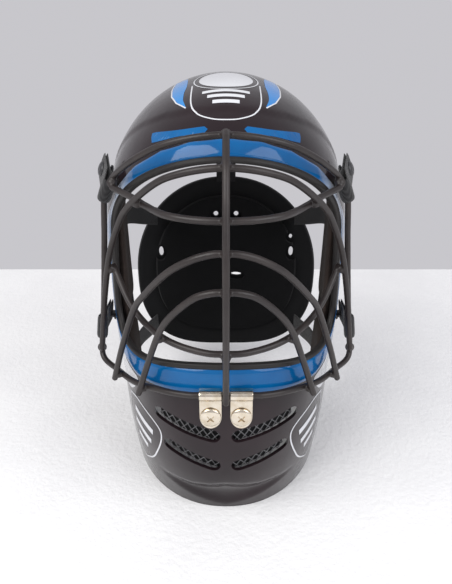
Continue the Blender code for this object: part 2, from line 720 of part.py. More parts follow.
def make_chin_nut(side, hand):
    """The flanged round nut that the screw grips inside the shell."""
    edge = angle_at(CLIP_X + NUT_FLANGE_RADIUS, CLIP_SCREW_Z)
    inner = shell_point(edge, CLIP_SCREW_Z).y + WALL + 0.0016
    flange = [(NUT_FLANGE_RADIUS, 0.0), (NUT_FLANGE_RADIUS, -NUT_FLANGE), (NUT_RADIUS, -NUT_FLANGE)]
    profile = [*flange, (NUT_RADIUS, -NUT_LENGTH), (NUT_BORE, -NUT_LENGTH), (NUT_BORE, 0.0)]
    place = (side * CLIP_X, inner, CLIP_SCREW_Z)
    turned(f"chin_nut_{hand}", profile, place, (0, -1, 0), "galvanised_steel", steps=16)


# ---------------------------------------------------------------- cage straps
def frame_wire_at(height):
    """Where the side of the frame wire passes a height, on the +X side."""
    path = smooth_path(FRAME_WIRE, 0.004)
    for low, high in zip(path, path[1:]):
        if low.y > -0.07 and (low.z - height) * (high.z - height) <= 0:
            return low.lerp(high, (height - low.z) / (high.z - low.z))
    raise ValueError(f"the frame wire has no side at {height}")


def make_cage_strap(place, hand, side, height, snap_x, slack, pivot):
    """A strap folded round the frame wire, its two layers snapped together on a stud behind it."""
    half_width = 0.5 * STRAP_WIDTH
    top = mirrored(frame_wire_at(height + half_width), side)
    bottom = mirrored(frame_wire_at(height - half_width), side)
    middle = mirrored(frame_wire_at(height), side)
    across = (top - bottom).normalized()
    wire_at = (top + bottom + 2 * middle) / 4
    snap_at = Vector((side * snap_x, wire_at.y + SNAP_DISTANCE, wire_at.z))
    back = snap_at - wire_at
    back = (back - across * back.dot(across)).normalized()
    snap_at = wire_at + back * SNAP_DISTANCE
    outside = back.cross(across) * side
    loop = WIRE_RADIUS + slack + 0.5 * STRAP_THICKNESS
    stack = 0.5 * STRAP_THICKNESS + GAP
    tail = snap_at + back * SNAP_TAIL
    start = snap_at - back * SNAP_LEAD
    path = [tail - outside * stack, start - outside * stack]
    for step in range(9):
        turn = -0.5 * math.pi - math.pi * step / 8
        path.append(wire_at + back * loop * math.cos(turn) + outside * loop * math.sin(turn))
    path += [start + outside * stack, tail + outside * stack]
    name = f"cage_strap_{place}_{hand}"
    band(name, path, across, STRAP_WIDTH, STRAP_THICKNESS, "black_webbing", pivot)
    clear = stack + 0.5 * STRAP_THICKNESS + GAP
    cap = [(0.0, 0.0022), (0.0035, 0.0020), (0.0060, 0.0008), (SNAP_RADIUS, 0.0), (0.0, 0.0)]
    turned(f"snap_cap_{place}_{hand}", cap, snap_at + outside * clear, outside, "black_snap", pivot)
    make_snap_stud(f"snap_stud_{place}_{hand}", snap_at - outside * clear, outside)


def make_snap_stud(name, seat, outward):
    """The fixed half of a snap, from the shell's side out to the strap's inner layer."""
    surface = shell_point(angle_toward(seat), seat.z)
    height = (seat - surface).dot(outward) - 0.0009
    profile = [(0.0, 0.0), (0.0034, 0.0), (0.0034, -0.6 * height), (0.0050, -0.75 * height)]
    profile += [(0.0050, -height), (0.0, -height)]
    turned(name, profile, seat, outward, "black_snap")


def angle_toward(point):
    """The angle whose point on the shell at this height has this y."""
    low, high = 0.0, math.pi
    for _ in range(40):
        middle = 0.5 * (low + high)
        if shell_point(middle, point.z).y < point.y:
            low = middle
        else:
            high = middle
    return math.copysign(0.5 * (low + high), point.x)


def make_cage_straps(pivot):
    for place, (height, snap_x, slack) in CAGE_STRAPS.items():
        make_cage_strap(place, "left", 1, height, snap_x, slack, pivot)
        make_cage_strap(place, "right", -1, height, snap_x, slack, pivot)


# ---------------------------------------------------------------- back plate and harness
def plate_point(x, z, forward=0.0):
    across = x / PLATE_HALF_WIDTH
    up = (z - PLATE_CENTRE_Z) / PLATE_HALF_HEIGHT
    return Vector((x, PLATE_BACK_Y - PLATE_SIDE_SWEEP * across**2 - PLATE_END_SWEEP * up**2 - forward, z))


def plate_rows(shrink, forward):
    around, rings = 32, 5
    rows = []
    for ring in range(rings, 0, -1):
        outline = egg(
            around,
            half_width=PLATE_HALF_WIDTH * shrink,
            centre=PLATE_CENTRE_Z,
            top=PLATE_CENTRE_Z + PLATE_HALF_HEIGHT * shrink,
            bottom=PLATE_CENTRE_Z - PLATE_HALF_HEIGHT * shrink,
            top_squareness=PLATE_TOP_SQUARENESS,
            bottom_squareness=PLATE_BOTTOM_SQUARENESS,
        )
        part = ring / rings
        rows.append(
            [plate_point(part * x, PLATE_CENTRE_Z + part * (z - PLATE_CENTRE_Z), forward) for x, z in outline]
        )
    rows.append([plate_point(0.0, PLATE_CENTRE_Z, forward)] * around)
    return rows


def make_back_plate(pivot):
    ahead = (0, -0.5, PLATE_CENTRE_Z)
    sheets = (
        ("back_plate", 1.0, 0.0, PLATE_WALL, 0.0, "matte_black_plate"),
        ("back_plate_liner", LINER_SHARE, PLATE_WALL + LINER_LEAD, LINER_THICKNESS, LINER_HOLE_MARGIN, "black_foam"),
    )
    for name, shrink, forward, thickness, margin, finish_name in sheets:
        data = mesh_of(name, plate_rows(shrink, forward), closed=True)
        face_outwards(data, ahead)
        plate = add_object(name, data, finish_name, pivot)
        solidify(plate, thickness)
        holes = []
        for number, (x, z, half_width, half_height) in enumerate(PLATE_HOLES):
            hole = ellipse(x, z, half_width + margin, half_height + margin)
            holes.append(prism(f"hole_{number}", hole, 0.05, 0.16, "Y"))
        cut(plate, joined_cutter(f"cut_{name}", holes))
        smooth_shading(plate)


def make_harness():
    """Elastic webbing from inside the shell's back edge to the front of the back plate's edge."""
    inset = WALL + 0.5 * STRAP_THICKNESS
    forward = PLATE_WALL + LINER_LEAD + STRAP_THICKNESS
    for level, (start_z, end_x, end_z) in HARNESS_STRAPS.items():
        for side, hand in ((1, "left"), (-1, "right")):
            anchor_angle = angle_toward(Vector((side, HARNESS_ANCHOR_Y, start_z)))
            leave_angle = angle_toward(Vector((side, HARNESS_LEAVE_Y, start_z)))
            anchor = inside_shell(anchor_angle, start_z, inset + 2 * GAP)
            leave = inside_shell(leave_angle, start_z, inset + 3 * GAP)
            end = plate_point(side * end_x, end_z, forward)
            path = smooth_path([anchor, leave, leave.lerp(end, 0.55), end], WIRE_SPACING)
            name = f"harness_strap_{level}_{hand}"
            band(name, path, (0, 0, 1), STRAP_WIDTH, STRAP_THICKNESS, "black_webbing")
    along_crown = [inside_shell(math.pi, height, inset + 4 * GAP) for height in (0.320, 0.312, 0.304)]
    leave = along_crown[-1] + Vector((0, 0.0005, -0.0060))
    top = plate_point(0.0, PLATE_CENTRE_Z + 0.96 * PLATE_HALF_HEIGHT, forward)
    sag = leave.lerp(top, 0.5) + Vector((0, 0.004, 0))
    path = smooth_path([*along_crown, leave, sag, top], WIRE_SPACING)
    band("harness_strap_top", path, (1, 0, 0), STRAP_WIDTH, STRAP_THICKNESS, "black_webbing")


# ---------------------------------------------------------------- assembly
clear_scene()
PARTS = new_collection("goalie_mask")
CUTTERS = new_collection("cutters", hidden=True)

cage_hinge = add_pivot("cage_hinge", (0.0, HINGE_Y, HINGE_Z))
plate_hinge = add_pivot("back_plate_hinge", (0.0, PLATE_HINGE_Y, PLATE_HINGE_Z))

make_shell()
make_edge_trim()
for vent_row in VENTS:
    for vent_side in (1, -1):
        make_vent_mesh(vent_row, vent_side)
make_padding()
make_cage(cage_hinge)
for clip_side, clip_hand in ((1, "left"), (-1, "right")):
    clip_face = make_chin_clip(clip_side, clip_hand)
    make_chin_screw(clip_side, clip_hand, clip_face)
    make_chin_nut(clip_side, clip_hand)
make_cage_straps(cage_hinge)
make_back_plate(plate_hinge)
make_harness()
for loose in [*PARTS.objects, *CUTTERS.objects]:
    if loose.parent is None:
        loose.location.y += SLIDE_BACK
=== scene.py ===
"""The looks of the caged goalie mask: paint, foam, webbing, plated hardware and a welded wire cage.

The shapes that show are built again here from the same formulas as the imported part, with finer steps.
Everything is in metres in the part's own frame: the mask looks towards -Y and stands on z = 0.
"""

import functools
import math

import bmesh
import bpy
import numpy as np
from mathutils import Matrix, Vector, geometry
from mathutils.bvhtree import BVHTree


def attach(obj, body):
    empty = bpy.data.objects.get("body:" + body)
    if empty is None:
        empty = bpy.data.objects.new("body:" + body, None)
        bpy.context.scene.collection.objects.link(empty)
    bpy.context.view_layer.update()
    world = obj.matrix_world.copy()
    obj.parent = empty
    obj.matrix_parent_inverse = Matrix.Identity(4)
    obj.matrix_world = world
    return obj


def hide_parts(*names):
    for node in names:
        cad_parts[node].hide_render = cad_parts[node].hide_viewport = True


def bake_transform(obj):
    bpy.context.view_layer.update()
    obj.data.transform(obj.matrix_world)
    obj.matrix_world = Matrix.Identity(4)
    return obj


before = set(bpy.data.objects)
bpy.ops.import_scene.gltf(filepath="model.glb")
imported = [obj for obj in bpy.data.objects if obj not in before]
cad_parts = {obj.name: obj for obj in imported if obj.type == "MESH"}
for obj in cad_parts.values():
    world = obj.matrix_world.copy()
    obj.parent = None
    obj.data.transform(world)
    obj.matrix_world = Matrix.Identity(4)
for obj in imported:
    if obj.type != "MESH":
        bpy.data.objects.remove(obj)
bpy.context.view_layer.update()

# ---------------------------------------------------------------- the part's own dimensions, metres
HEIGHT = 0.350
SPRING_LINE = 0.235
WALL = 0.0035
UNDERCUT = 0.010
MIDDLE_Y = 0.0303
WIRE_RADIUS = 0.0026

# Lower shell: height, half width, reach to the front, reach to the back, squareness of the section.
SHELL_STATIONS = (
    (-UNDERCUT, 0.0900, 0.1250, 0.100, 2.10),
    (0.050, 0.0960, 0.1440, 0.105, 2.15),
    (0.110, 0.0990, 0.1470, 0.110, 2.20),
    (0.170, 0.1020, 0.1350, 0.115, 2.30),
    (SPRING_LINE, 0.1035, 0.118, 0.118, 2.30),
)
DOME_SIDE, DOME_FRONT, DOME_BACK = 2.05, 2.90, 2.30
CROWN_SQUARENESS = 2.0
FACE_CENTRE, FACE_HALF_WIDTH = 0.2365, 0.0925
FACE_TOP, FACE_BOTTOM = 0.310, 0.158
FACE_TOP_SQUARENESS, FACE_BOTTOM_SQUARENESS = 2.0, 6.0
# Below its centre the opening widens by this share, and its corners droop below its middle.
FACE_FLARE, FACE_DROOP, FACE_DROOP_POWER = 0.055, 0.026, 2.5
BACK_EDGE = (
    (0.030, -0.020), (0.030, 0.120), (0.036, 0.215), (0.060, 0.262), (0.098, 0.300), (0.150, 0.330),
)
# The recess under the chin.
DIMPLE_CENTRE, DIMPLE_HALF_WIDTH, DIMPLE_HALF_HEIGHT, DIMPLE_DEPTH = 0.024, 0.062, 0.017, 0.0045
# How far cutters for holes in the face of the shell reach along Y.
FACE_CUT = (-0.25, -0.04)
VENT_HALF_HEIGHT = 0.0061
VENTS = {"upper": ((0.0105, 0.0960), (0.053, 0.1046)), "lower": ((0.0105, 0.0640), (0.046, 0.0752))}

HINGE_Y, HINGE_Z = -0.1485, 0.138
CLIP_X, CLIP_WIDTH, CLIP_SHEET, CLIP_SCREW_Z = 0.0121, 0.0172, 0.0012, 0.1165
SCREW_HEAD_RADIUS, SCREW_HEAD_HEIGHT, SCREW_SHANK_RADIUS, SCREW_LENGTH = 0.0083, 0.0030, 0.0024, 0.0125
SCREW_HOLE_RADIUS = SCREW_SHANK_RADIUS + 0.0003

# Half of each cage wire, from x = 0 outwards.
FRAME_WIRE = (
    (0.000, -0.1190, 0.3317), (0.023, -0.1172, 0.3292), (0.0455, -0.1100, 0.3217),
    (0.065, -0.0955, 0.3088), (0.080, -0.0785, 0.2945), (0.0905, -0.0635, 0.2810),
    (0.0965, -0.0615, 0.2680), (0.0998, -0.0615, 0.2300), (0.1046, -0.0635, 0.1750),
    (0.1088, -0.0665, 0.1360), (0.1072, -0.0730, 0.1225), (0.0925, -0.0905, 0.1215),
    (0.074, -0.1170, 0.1275), (0.048, -0.1385, 0.1345), (0.030, -0.1475, 0.1375),
    (0.022, HINGE_Y, HINGE_Z), (0.011, HINGE_Y, HINGE_Z), (0.000, HINGE_Y, HINGE_Z),
)
OVAL_WIRE = (
    (0.000, -0.1475, 0.3178), (0.0195, -0.1455, 0.3155), (0.0385, -0.1380, 0.3085),
    (0.0505, -0.1300, 0.3000), (0.0635, -0.1180, 0.2865), (0.072, -0.1090, 0.2755),
    (0.079, -0.1010, 0.2630), (0.091, -0.0885, 0.2310), (0.100, -0.0795, 0.1890),
    (0.1062, -0.0740, 0.1470), (0.1080, -0.0745, 0.1330),
)
BROW_WIRE = (
    (0.000, -0.1650, 0.2880), (0.0215, -0.1620, 0.2878), (0.041, -0.1490, 0.2862),
    (0.0575, -0.1185, 0.2815), (0.068, -0.0985, 0.2795), (0.0880, -0.0725, 0.2790),
)
UPPER_ARCH = (
    (0.000, -0.1715, 0.2681), (0.0105, -0.1712, 0.2672), (0.0245, -0.1680, 0.2612),
    (0.041, -0.1590, 0.2474), (0.0600, -0.1400, 0.2200), (0.0695, -0.1285, 0.2015),
    (0.083, -0.1120, 0.1600), (0.0945, -0.0985, 0.1185),
)
LOWER_ARCH = (
    (0.000, -0.1742, 0.2411), (0.0105, -0.1739, 0.2402), (0.0225, -0.1700, 0.2340),
    (0.0385, -0.1600, 0.2150), (0.0487, -0.1500, 0.1950), (0.060, -0.1375, 0.1600),
    (0.0705, -0.1290, 0.1250),
)
VEE_WIRE = (
    (0.000, -0.1620, 0.1845), (0.0145, -0.1611, 0.1848), (0.035, -0.1520, 0.1856),
    (0.0515, -0.1385, 0.1873), (0.0668, -0.1175, 0.1896), (0.0785, -0.1000, 0.1978),
    (0.0905, -0.0800, 0.2160),
)
CENTRE_WIRE = (
    (-0.1250, 0.3345), (-0.1345, 0.3315), (-0.1535, 0.3205), (-0.1640, 0.3060), (-0.1705, 0.2900),
    (-0.1770, 0.2690), (-0.1800, 0.2420), (-0.1775, 0.2150), (-0.1685, 0.1845), (-0.1590, 0.1600),
    (-0.1541, 0.1400), (-0.1541, 0.1340),
)

PLATE_CENTRE_Z, PLATE_HALF_HEIGHT, PLATE_HALF_WIDTH = 0.125, 0.103, 0.0965
PLATE_BACK_Y, PLATE_SIDE_SWEEP, PLATE_END_SWEEP = 0.122, 0.032, 0.010
PLATE_TOP_SQUARENESS, PLATE_BOTTOM_SQUARENESS = 2.2, 2.5
PLATE_WALL = 0.0030
LINER_THICKNESS, LINER_SHARE, LINER_LEAD, LINER_HOLE_MARGIN = 0.0040, 0.80, 0.0012, 0.0035
# Holes through the plate: x, z, half width and half height.
PLATE_HOLES = (
    (-0.011, 0.1845, 0.0026, 0.0032), (0.011, 0.1845, 0.0026, 0.0032), (-0.071, 0.146, 0.0024, 0.0060),
    (0.071, 0.146, 0.0024, 0.0060), (0.0115, 0.110, 0.0060, 0.0022), (0.0700, 0.164, 0.0018, 0.0030),
)
STRAP_THICKNESS, STRAP_WIDTH = 0.0016, 0.020
SNAP_DISTANCE, SNAP_TAIL, SNAP_LEAD = 0.027, 0.009, 0.011
# A dimpled button: radius and height over the strap.
SNAP_PROFILE = (
    (0.0, 0.0017), (0.0012, 0.0017), (0.0020, 0.0021), (0.0036, 0.0020), (0.0052, 0.0014), (0.0061, 0.0005),
    (0.0062, 0.0), (0.0, 0.0),
)
# Height of the strap, x of its snap, and slack round the wire.
CAGE_STRAPS = {"temple": (0.2740, 0.1030, 0.0014), "lower": (0.1500, 0.1060, 0.0006)}
# Height on the shell, then x and height on the back plate.
HARNESS_STRAPS = {"upper": (0.215, 0.0730, 0.190), "lower": (0.078, 0.0780, 0.062)}
PAD_THICKNESS, PAD_INSET = 0.009, WALL + 0.0012

# ---------------------------------------------------------------- paint and moulding that only show here
# Where the crown steps down to the forehead: angle in degrees and height.
CONTOUR = (
    (0.0, 0.3405), (31.5, 0.3380), (51.0, 0.3320), (66.0, 0.3225), (75.0, 0.3130), (84.0, 0.2980),
    (96.0, 0.2600),
)
CONTOUR_DEPTH = 0.0012

# Outer edge of the painted ridge: share of the way round from brow to chin, angle in degrees, height.
RIDGE_OUTER = (
    (0.00, 0.0, 0.3240), (0.10, 20.6, 0.3205), (0.20, 37.2, 0.3115), (0.30, 50.7, 0.2970),
    (0.38, 60.0, 0.2790), (0.48, 70.0, 0.2400), (0.58, 76.0, 0.1950), (0.66, 77.0, 0.1600),
    (0.73, 66.0, 0.1330), (0.80, 47.0, 0.1260), (0.88, 28.4, 0.1312), (0.94, 14.0, 0.1345),
    (1.00, 0.0, 0.1352),
)
# Share of the ridge that is blue, by the same way round: the rest is silver white.
# The silver white is partly paint and partly a painted reflection of the bright room in the glossy sides.
BLUE_SHARE = ((0.0, 1.0), (0.30, 1.0), (0.38, 0.85), (0.62, 0.85), (0.72, 0.90), (0.80, 1.0), (1.0, 1.0))
RIDGE_LIFT = 0.0015
# How far the rubber edge laps over the shell, by the way round.
TRIM_LAP = (
    (0.0, 0.0026), (0.30, 0.0020), (0.42, 0.0012), (0.66, 0.0012), (0.76, 0.0024), (0.85, 0.0032),
    (1.0, 0.0034),
)
# Round the edge of the shell's wall: distance outwards from the edge, and height over the outer face.
TRIM_WRAP = (
    (0.0002, 0.0010), (-0.0006, 0.0009), (-0.0012, 0.0002), (-0.0014, -0.0010), (-0.0014, -0.0026),
    (-0.0012, -0.0038), (-0.0006, -0.0045), (0.0010, -0.0047), (0.0024, -0.0045), (0.0028, -0.0040),
    (0.0026, -0.0030),
)

# Marks on each side of the shell, angle in degrees and height: the white corner is partly paint, partly
# painted reflection.
WHITE_CORNER = (
    (74, 0.150), (79, 0.128), (76, 0.110), (66, 0.1015), (57, 0.1005), (50, 0.1100), (46, 0.1235),
    (60, 0.1290),
)
BLUE_STRIP = (
    (46.5, 0.3140), (50.3, 0.3180), (48.5, 0.3205), (28.0, 0.3268), (14.5, 0.3298), (12.0, 0.3285),
    (13.5, 0.3262), (30.0, 0.3220),
)
SIDE_MARK = (
    (57.0, 0.0960), (47.0, 0.0985), (32.0, 0.0840), (38.0, 0.0500), (46.0, 0.0330), (52.0, 0.0310),
    (60.0, 0.0700),
)
SIDE_MARK_BARS = (
    ((53.0, 0.0840), (38.0, 0.0760)), ((54.0, 0.0700), (40.5, 0.0620)), ((52.5, 0.0560), (44.5, 0.0505)),
)

# Crown graphics in plan: x and y, mirrored about x = 0.
SWOOSH = (
    (0.0415, 0.0420), (0.0435, 0.0180), (0.0425, -0.0010), (0.0378, -0.0185), (0.0300, -0.0320),
    (0.0325, -0.0190), (0.0325, -0.0050), (0.0310, 0.0120), (0.0325, 0.0420),
)
CROWN_FRAME = ((0.0265, 0.0060), (0.0262, -0.0280), (0.0215, -0.0420), (0.0110, -0.0500), (0.0, -0.0520))
CROWN_BARS = tuple(((-x, y), (x, y)) for x, y in ((0.0180, -0.0170), (0.0140, -0.0255), (0.0100, -0.0340)))
CROWN_DISC_Y = 0.016

# Both sides of the mask: sign of x and the wearer's hand.
SIDES = ((1, "left"), (-1, "right"))


# ---------------------------------------------------------------- materials
def new_material(name, **sockets):
    """A Principled material. Socket names are written with underscores for their spaces."""
    material = bpy.data.materials.new(name)
    material.use_nodes = True
    shader = material.node_tree.nodes["Principled BSDF"]
    for socket, value in sockets.items():
        shader.inputs[socket.replace("_", " ")].default_value = value
    return material


class Nodes:
    """Short ways to add linked nodes to one material."""

    def __init__(self, material):
        self.tree = material.node_tree
        self.shader = self.tree.nodes["Principled BSDF"]
        self.place = self.tree.nodes.new("ShaderNodeTexCoord").outputs["Object"]

    def add(self, kind, inputs=(), **settings):
        node = self.tree.nodes.new(kind)
        for name, value in settings.items():
            setattr(node, name, value)
        for socket, value in dict(inputs).items():
            if isinstance(value, bpy.types.NodeSocket):
                self.tree.links.new(value, node.inputs[socket])
            else:
                node.inputs[socket].default_value = value
        return node

    def noise(self, scale, detail=3.0, roughness=0.55, place=None):
        inputs = {"Vector": place or self.place, "Scale": scale, "Detail": detail, "Roughness": roughness}
        return self.add("ShaderNodeTexNoise", inputs).outputs["Fac"]

    def cells(self, scale):
        inputs = {"Vector": self.place, "Scale": scale}
        return self.add("ShaderNodeTexVoronoi", inputs).outputs["Distance"]

    def waves(self, scale, distortion, direction):
        inputs = {"Vector": self.place, "Scale": scale, "Distortion": distortion}
        return self.add("ShaderNodeTexWave", inputs, bands_direction=direction).outputs["Fac"]

    def stretched(self, factors):
        mapping = self.add("ShaderNodeMapping", {"Vector": self.place})
        mapping.inputs["Scale"].default_value = factors
        return mapping.outputs["Vector"]

    def span(self, value, low, high, to_low=0.0, to_high=1.0):
        inputs = {"Value": value, "From Min": low, "From Max": high, "To Min": to_low, "To Max": to_high}
        return self.add("ShaderNodeMapRange", inputs, clamp=True).outputs["Result"]

    def maths(self, operation, first, second=0.0):
        return self.add("ShaderNodeMath", {0: first, 1: second}, operation=operation).outputs[0]

    def blend(self, share, first, second):
        """A mix of two colours. A node's sockets 0, 6 and 7 are its factor and its two colours."""
        node = self.add("ShaderNodeMix", data_type="RGBA")
        for index, value in ((0, share), (6, first), (7, second)):
            if isinstance(value, bpy.types.NodeSocket):
                self.tree.links.new(value, node.inputs[index])
            else:
                node.inputs[index].default_value = value if index == 0 else (*value, 1.0)
        return node.outputs[2]

    def axis(self, letter):
        return self.add("ShaderNodeSeparateXYZ", {0: self.place}).outputs[letter]

    def colour(self, value):
        self.tree.links.new(value, self.shader.inputs["Base Color"])

    def rough(self, value):
        self.tree.links.new(value, self.shader.inputs["Roughness"])

    def bump(self, height, strength, distance):
        previous = self.shader.inputs["Normal"].links
        inputs = {"Height": height, "Strength": strength, "Distance": distance}
        if previous:
            inputs["Normal"] = previous[0].from_socket
        node = self.add("ShaderNodeBump", inputs)
        self.tree.links.new(node.outputs["Normal"], self.shader.inputs["Normal"])


def lacquer(name, colour, second, roughness=0.16):
    """Glossy paint under lacquer: slow colour drift, fine orange peel, handling marks."""
    coat = {"Coat_Weight": 0.8, "Coat_IOR": 1.40, "Coat_Roughness": 0.05}
    material = new_material(name, Specular_IOR_Level=0.06, **coat)
    n = Nodes(material)
    drift = n.noise(14.0, 4.0)
    n.colour(n.blend(n.span(drift, 0.35, 0.70), colour, second))
    marks = n.noise(60.0, 8.0, 0.7)
    n.rough(n.span(marks, 0.35, 0.75, roughness, roughness + 0.16))
    n.bump(n.noise(420.0, 2.0), 0.05, 0.0003)
    scratches = n.noise(90.0, 2.0, place=n.stretched((1.0, 14.0, 0.6)))
    n.bump(n.span(scratches, 0.66, 0.72), 0.03, 0.0002)
    return material


def lacquer_with_painted_reflection(name, colour, second, pale):
    """The ridge's paint, with a painted reflection: it fades to pale at the temples, where the glossy paint
    mirrors the bright room.
    """
    material = lacquer(name, colour, second)
    n = Nodes(material)
    painted = n.shader.inputs["Base Color"].links[0].from_socket
    across = n.maths("ABSOLUTE", n.axis("X"))
    speckle = n.span(n.noise(220.0, 5.0), 0.2, 0.8, -0.0025, 0.0025)
    edge = n.maths("ADD", across, speckle)
    outward = n.span(edge, 0.0700, 0.0835)
    upward = n.span(n.axis("Z"), 0.215, 0.262)
    # Painted reflection: high on the sides the blue is lightened to pale, for the bright room seen in the
    # glossy paint.
    reflection_share = n.maths("MULTIPLY", n.maths("MULTIPLY", outward, upward), 0.80)
    n.colour(n.blend(reflection_share, painted, pale))
    return material


def powder_coat(name, colour, worn):
    """Powder-coated wire: a fine orange peel, and a dry sheen where hands and sticks rub it."""
    material = new_material(name, Specular_IOR_Level=0.45)
    n = Nodes(material)
    rubbed = n.noise(26.0, 6.0, 0.65)
    n.colour(n.blend(n.span(rubbed, 0.42, 0.72), colour, worn))
    n.rough(n.span(rubbed, 0.3, 0.75, 0.34, 0.50))
    n.bump(n.noise(900.0, 3.0), 0.18, 0.0002)
    n.bump(n.noise(120.0, 2.0), 0.10, 0.0004)
    return material


def plated(name, colour, stain, brushed):
    """Plated steel with a warm stain, brushing along one axis and small scratches."""
    material = new_material(name, Metallic=1.0)
    n = Nodes(material)
    cloud = n.noise(160.0, 5.0, 0.6)
    n.colour(n.blend(n.span(cloud, 0.40, 0.75), colour, stain))
    grain = n.noise(260.0, 3.0, 0.6, place=n.stretched(brushed))
    n.rough(n.span(grain, 0.3, 0.7, 0.14, 0.26))
    n.bump(n.noise(1400.0, 2.0), 0.03, 0.0001)
    return material


def foam(name, colour, second):
    """Closed-cell foam: fine pores over a soft, uneven skin."""
    material = new_material(name, Specular_IOR_Level=0.20, Sheen_Weight=0.05, Sheen_Roughness=0.6)
    n = Nodes(material)
    mottle = n.noise(45.0, 6.0, 0.6)
    pores = n.cells(1500.0)
    tone = n.maths("MULTIPLY", n.span(mottle, 0.3, 0.7), n.span(pores, 0.0, 0.5))
    n.colour(n.blend(tone, colour, second))
    n.rough(n.span(mottle, 0.2, 0.8, 0.82, 0.96))
    n.bump(pores, 0.35, 0.0004)
    n.bump(mottle, 0.30, 0.0012)
    return material


def webbing(name, colour, second, along):
    """Woven strap: ribs across its length, a finer thread along it, and fuzz."""
    material = new_material(name, Specular_IOR_Level=0.3, Sheen_Weight=0.3, Sheen_Roughness=0.5)
    n = Nodes(material)
    ribs = n.waves(260.0, 0.6, along)
    threads = n.waves(420.0, 0.4, "X" if along == "Z" else "Z")
    weave = n.maths("MULTIPLY", ribs, threads)
    fuzz = n.noise(600.0, 4.0)
    n.colour(n.blend(n.maths("MULTIPLY", weave, fuzz), colour, second))
    n.rough(n.span(fuzz, 0.3, 0.7, 0.72, 0.92))
    n.bump(weave, 0.6, 0.0005)
    return material


def moulded(name, colour, second, roughness, grain=700.0, depth=0.2):
    """Moulded plastic or rubber with a fine grain and rubbed patches."""
    material = new_material(name, Specular_IOR_Level=0.4)
    n = Nodes(material)
    patches = n.noise(30.0, 6.0, 0.6)
    n.colour(n.blend(n.span(patches, 0.40, 0.75), colour, second))
    n.rough(n.span(patches, 0.3, 0.8, roughness, roughness + 0.15))
    n.bump(n.noise(grain, 3.0), depth, 0.0003)
    return material


def make_materials():
    return {
        "shell": lacquer("gloss_black_lacquer", (0.0100, 0.0058, 0.0075), (0.019, 0.011, 0.0135), 0.30),
        "lining": moulded("shell_inner_face", (0.011, 0.010, 0.011), (0.020, 0.019, 0.019), 0.45),
        # The blue turns pale at the temples: a painted reflection.
        "blue": lacquer_with_painted_reflection(
            "blue_lacquer", (0.0010, 0.080, 0.25), (0.002, 0.130, 0.36), (0.60, 0.64, 0.70)
        ),
        "light_blue": lacquer("light_blue_lacquer", (0.006, 0.190, 0.55), (0.012, 0.240, 0.62)),
        # Silver white: print, and on the ridge's sides and lower corners partly a painted reflection.
        "white": lacquer("silver_white_lacquer", (0.60, 0.61, 0.64), (0.70, 0.71, 0.74)),
        "wire": powder_coat("powder_coated_wire", (0.0150, 0.0108, 0.0105), (0.030, 0.023, 0.021)),
        "nickel": plated("nickel_plating", (0.78, 0.71, 0.60), (0.62, 0.52, 0.38), (1.0, 1.0, 0.05)),
        "steel": plated("zinc_plating", (0.55, 0.56, 0.58), (0.40, 0.41, 0.43), (1.0, 0.1, 1.0)),
        "mesh": powder_coat("vent_mesh_wire", (0.13, 0.13, 0.135), (0.22, 0.22, 0.225)),
        "rubber": moulded("edge_rubber_bead", (0.0105, 0.0090, 0.0090), (0.020, 0.018, 0.017), 0.42, 500.0),
        "brown_foam": foam("brown_foam_lining", (0.020, 0.0135, 0.0115), (0.048, 0.034, 0.028)),
        "black_foam": foam("black_foam_lining", (0.0034, 0.0036, 0.0042), (0.0066, 0.0068, 0.0076)),
        "plate": moulded("matte_plate", (0.0036, 0.0038, 0.0045), (0.0065, 0.0068, 0.0078), 0.72),
        "strap_along": webbing("webbing_cage", (0.008, 0.008, 0.009), (0.035, 0.034, 0.036), "Y"),
        "strap_up": webbing("webbing_top", (0.008, 0.008, 0.009), (0.030, 0.029, 0.031), "Z"),
        "snap": moulded("black_snap_metal", (0.018, 0.018, 0.020), (0.05, 0.05, 0.055), 0.25, 900.0, 0.1),
    }


# ---------------------------------------------------------------- curves and surfaces
def signed_power(value, power):
    return math.copysign(abs(value) ** power, value)


def between(stations, at, column=1):
    return float(np.interp(at, [row[0] for row in stations], [row[column] for row in stations]))


def smoothstep(value):
    value = min(1.0, max(0.0, value))
    return value * value * (3 - 2 * value)


@functools.lru_cache(maxsize=None)
def section(height):
    """Half width, reach to the front, reach to the back and squareness of the shell at a height."""
    if height > SPRING_LINE:
        rise = min(1.0, (height - SPRING_LINE) / (HEIGHT - SPRING_LINE))
        _, half_width, front, back, squareness = SHELL_STATIONS[-1]
        return (
            half_width * (1 - rise**DOME_SIDE) ** (1 / DOME_SIDE),
            front * (1 - rise**DOME_FRONT) ** (1 / DOME_FRONT),
            back * (1 - rise**DOME_BACK) ** (1 / DOME_BACK),
            squareness + (CROWN_SQUARENESS - squareness) * rise,
        )
    places = np.array([row[0] for row in SHELL_STATIONS])
    span = int(np.clip(np.searchsorted(places, height) - 1, 0, len(places) - 2))
    width = places[span + 1] - places[span]
    u = (height - places[span]) / width
    found = []
    for column in (1, 2, 3, 4):
        values = np.array([row[column] for row in SHELL_STATIONS])
        slopes = np.gradient(values, places)
        found.append(
            float(
                (2 * u**3 - 3 * u**2 + 1) * values[span]
                + (u**3 - 2 * u**2 + u) * width * slopes[span]
                + (3 * u**2 - 2 * u**3) * values[span + 1]
                + (u**3 - u**2) * width * slopes[span + 1]
            )
        )
    return tuple(found)


def dimple_depth(x, z):
    across = abs(x) / DIMPLE_HALF_WIDTH
    up = (z - DIMPLE_CENTRE - 0.010 * across**2) / (DIMPLE_HALF_HEIGHT * max(1 - across, 0.05))
    if across >= 1 or abs(up) >= 1:
        return 0.0
    return DIMPLE_DEPTH * (1 - across**2) * math.cos(0.5 * math.pi * up) ** 0.8


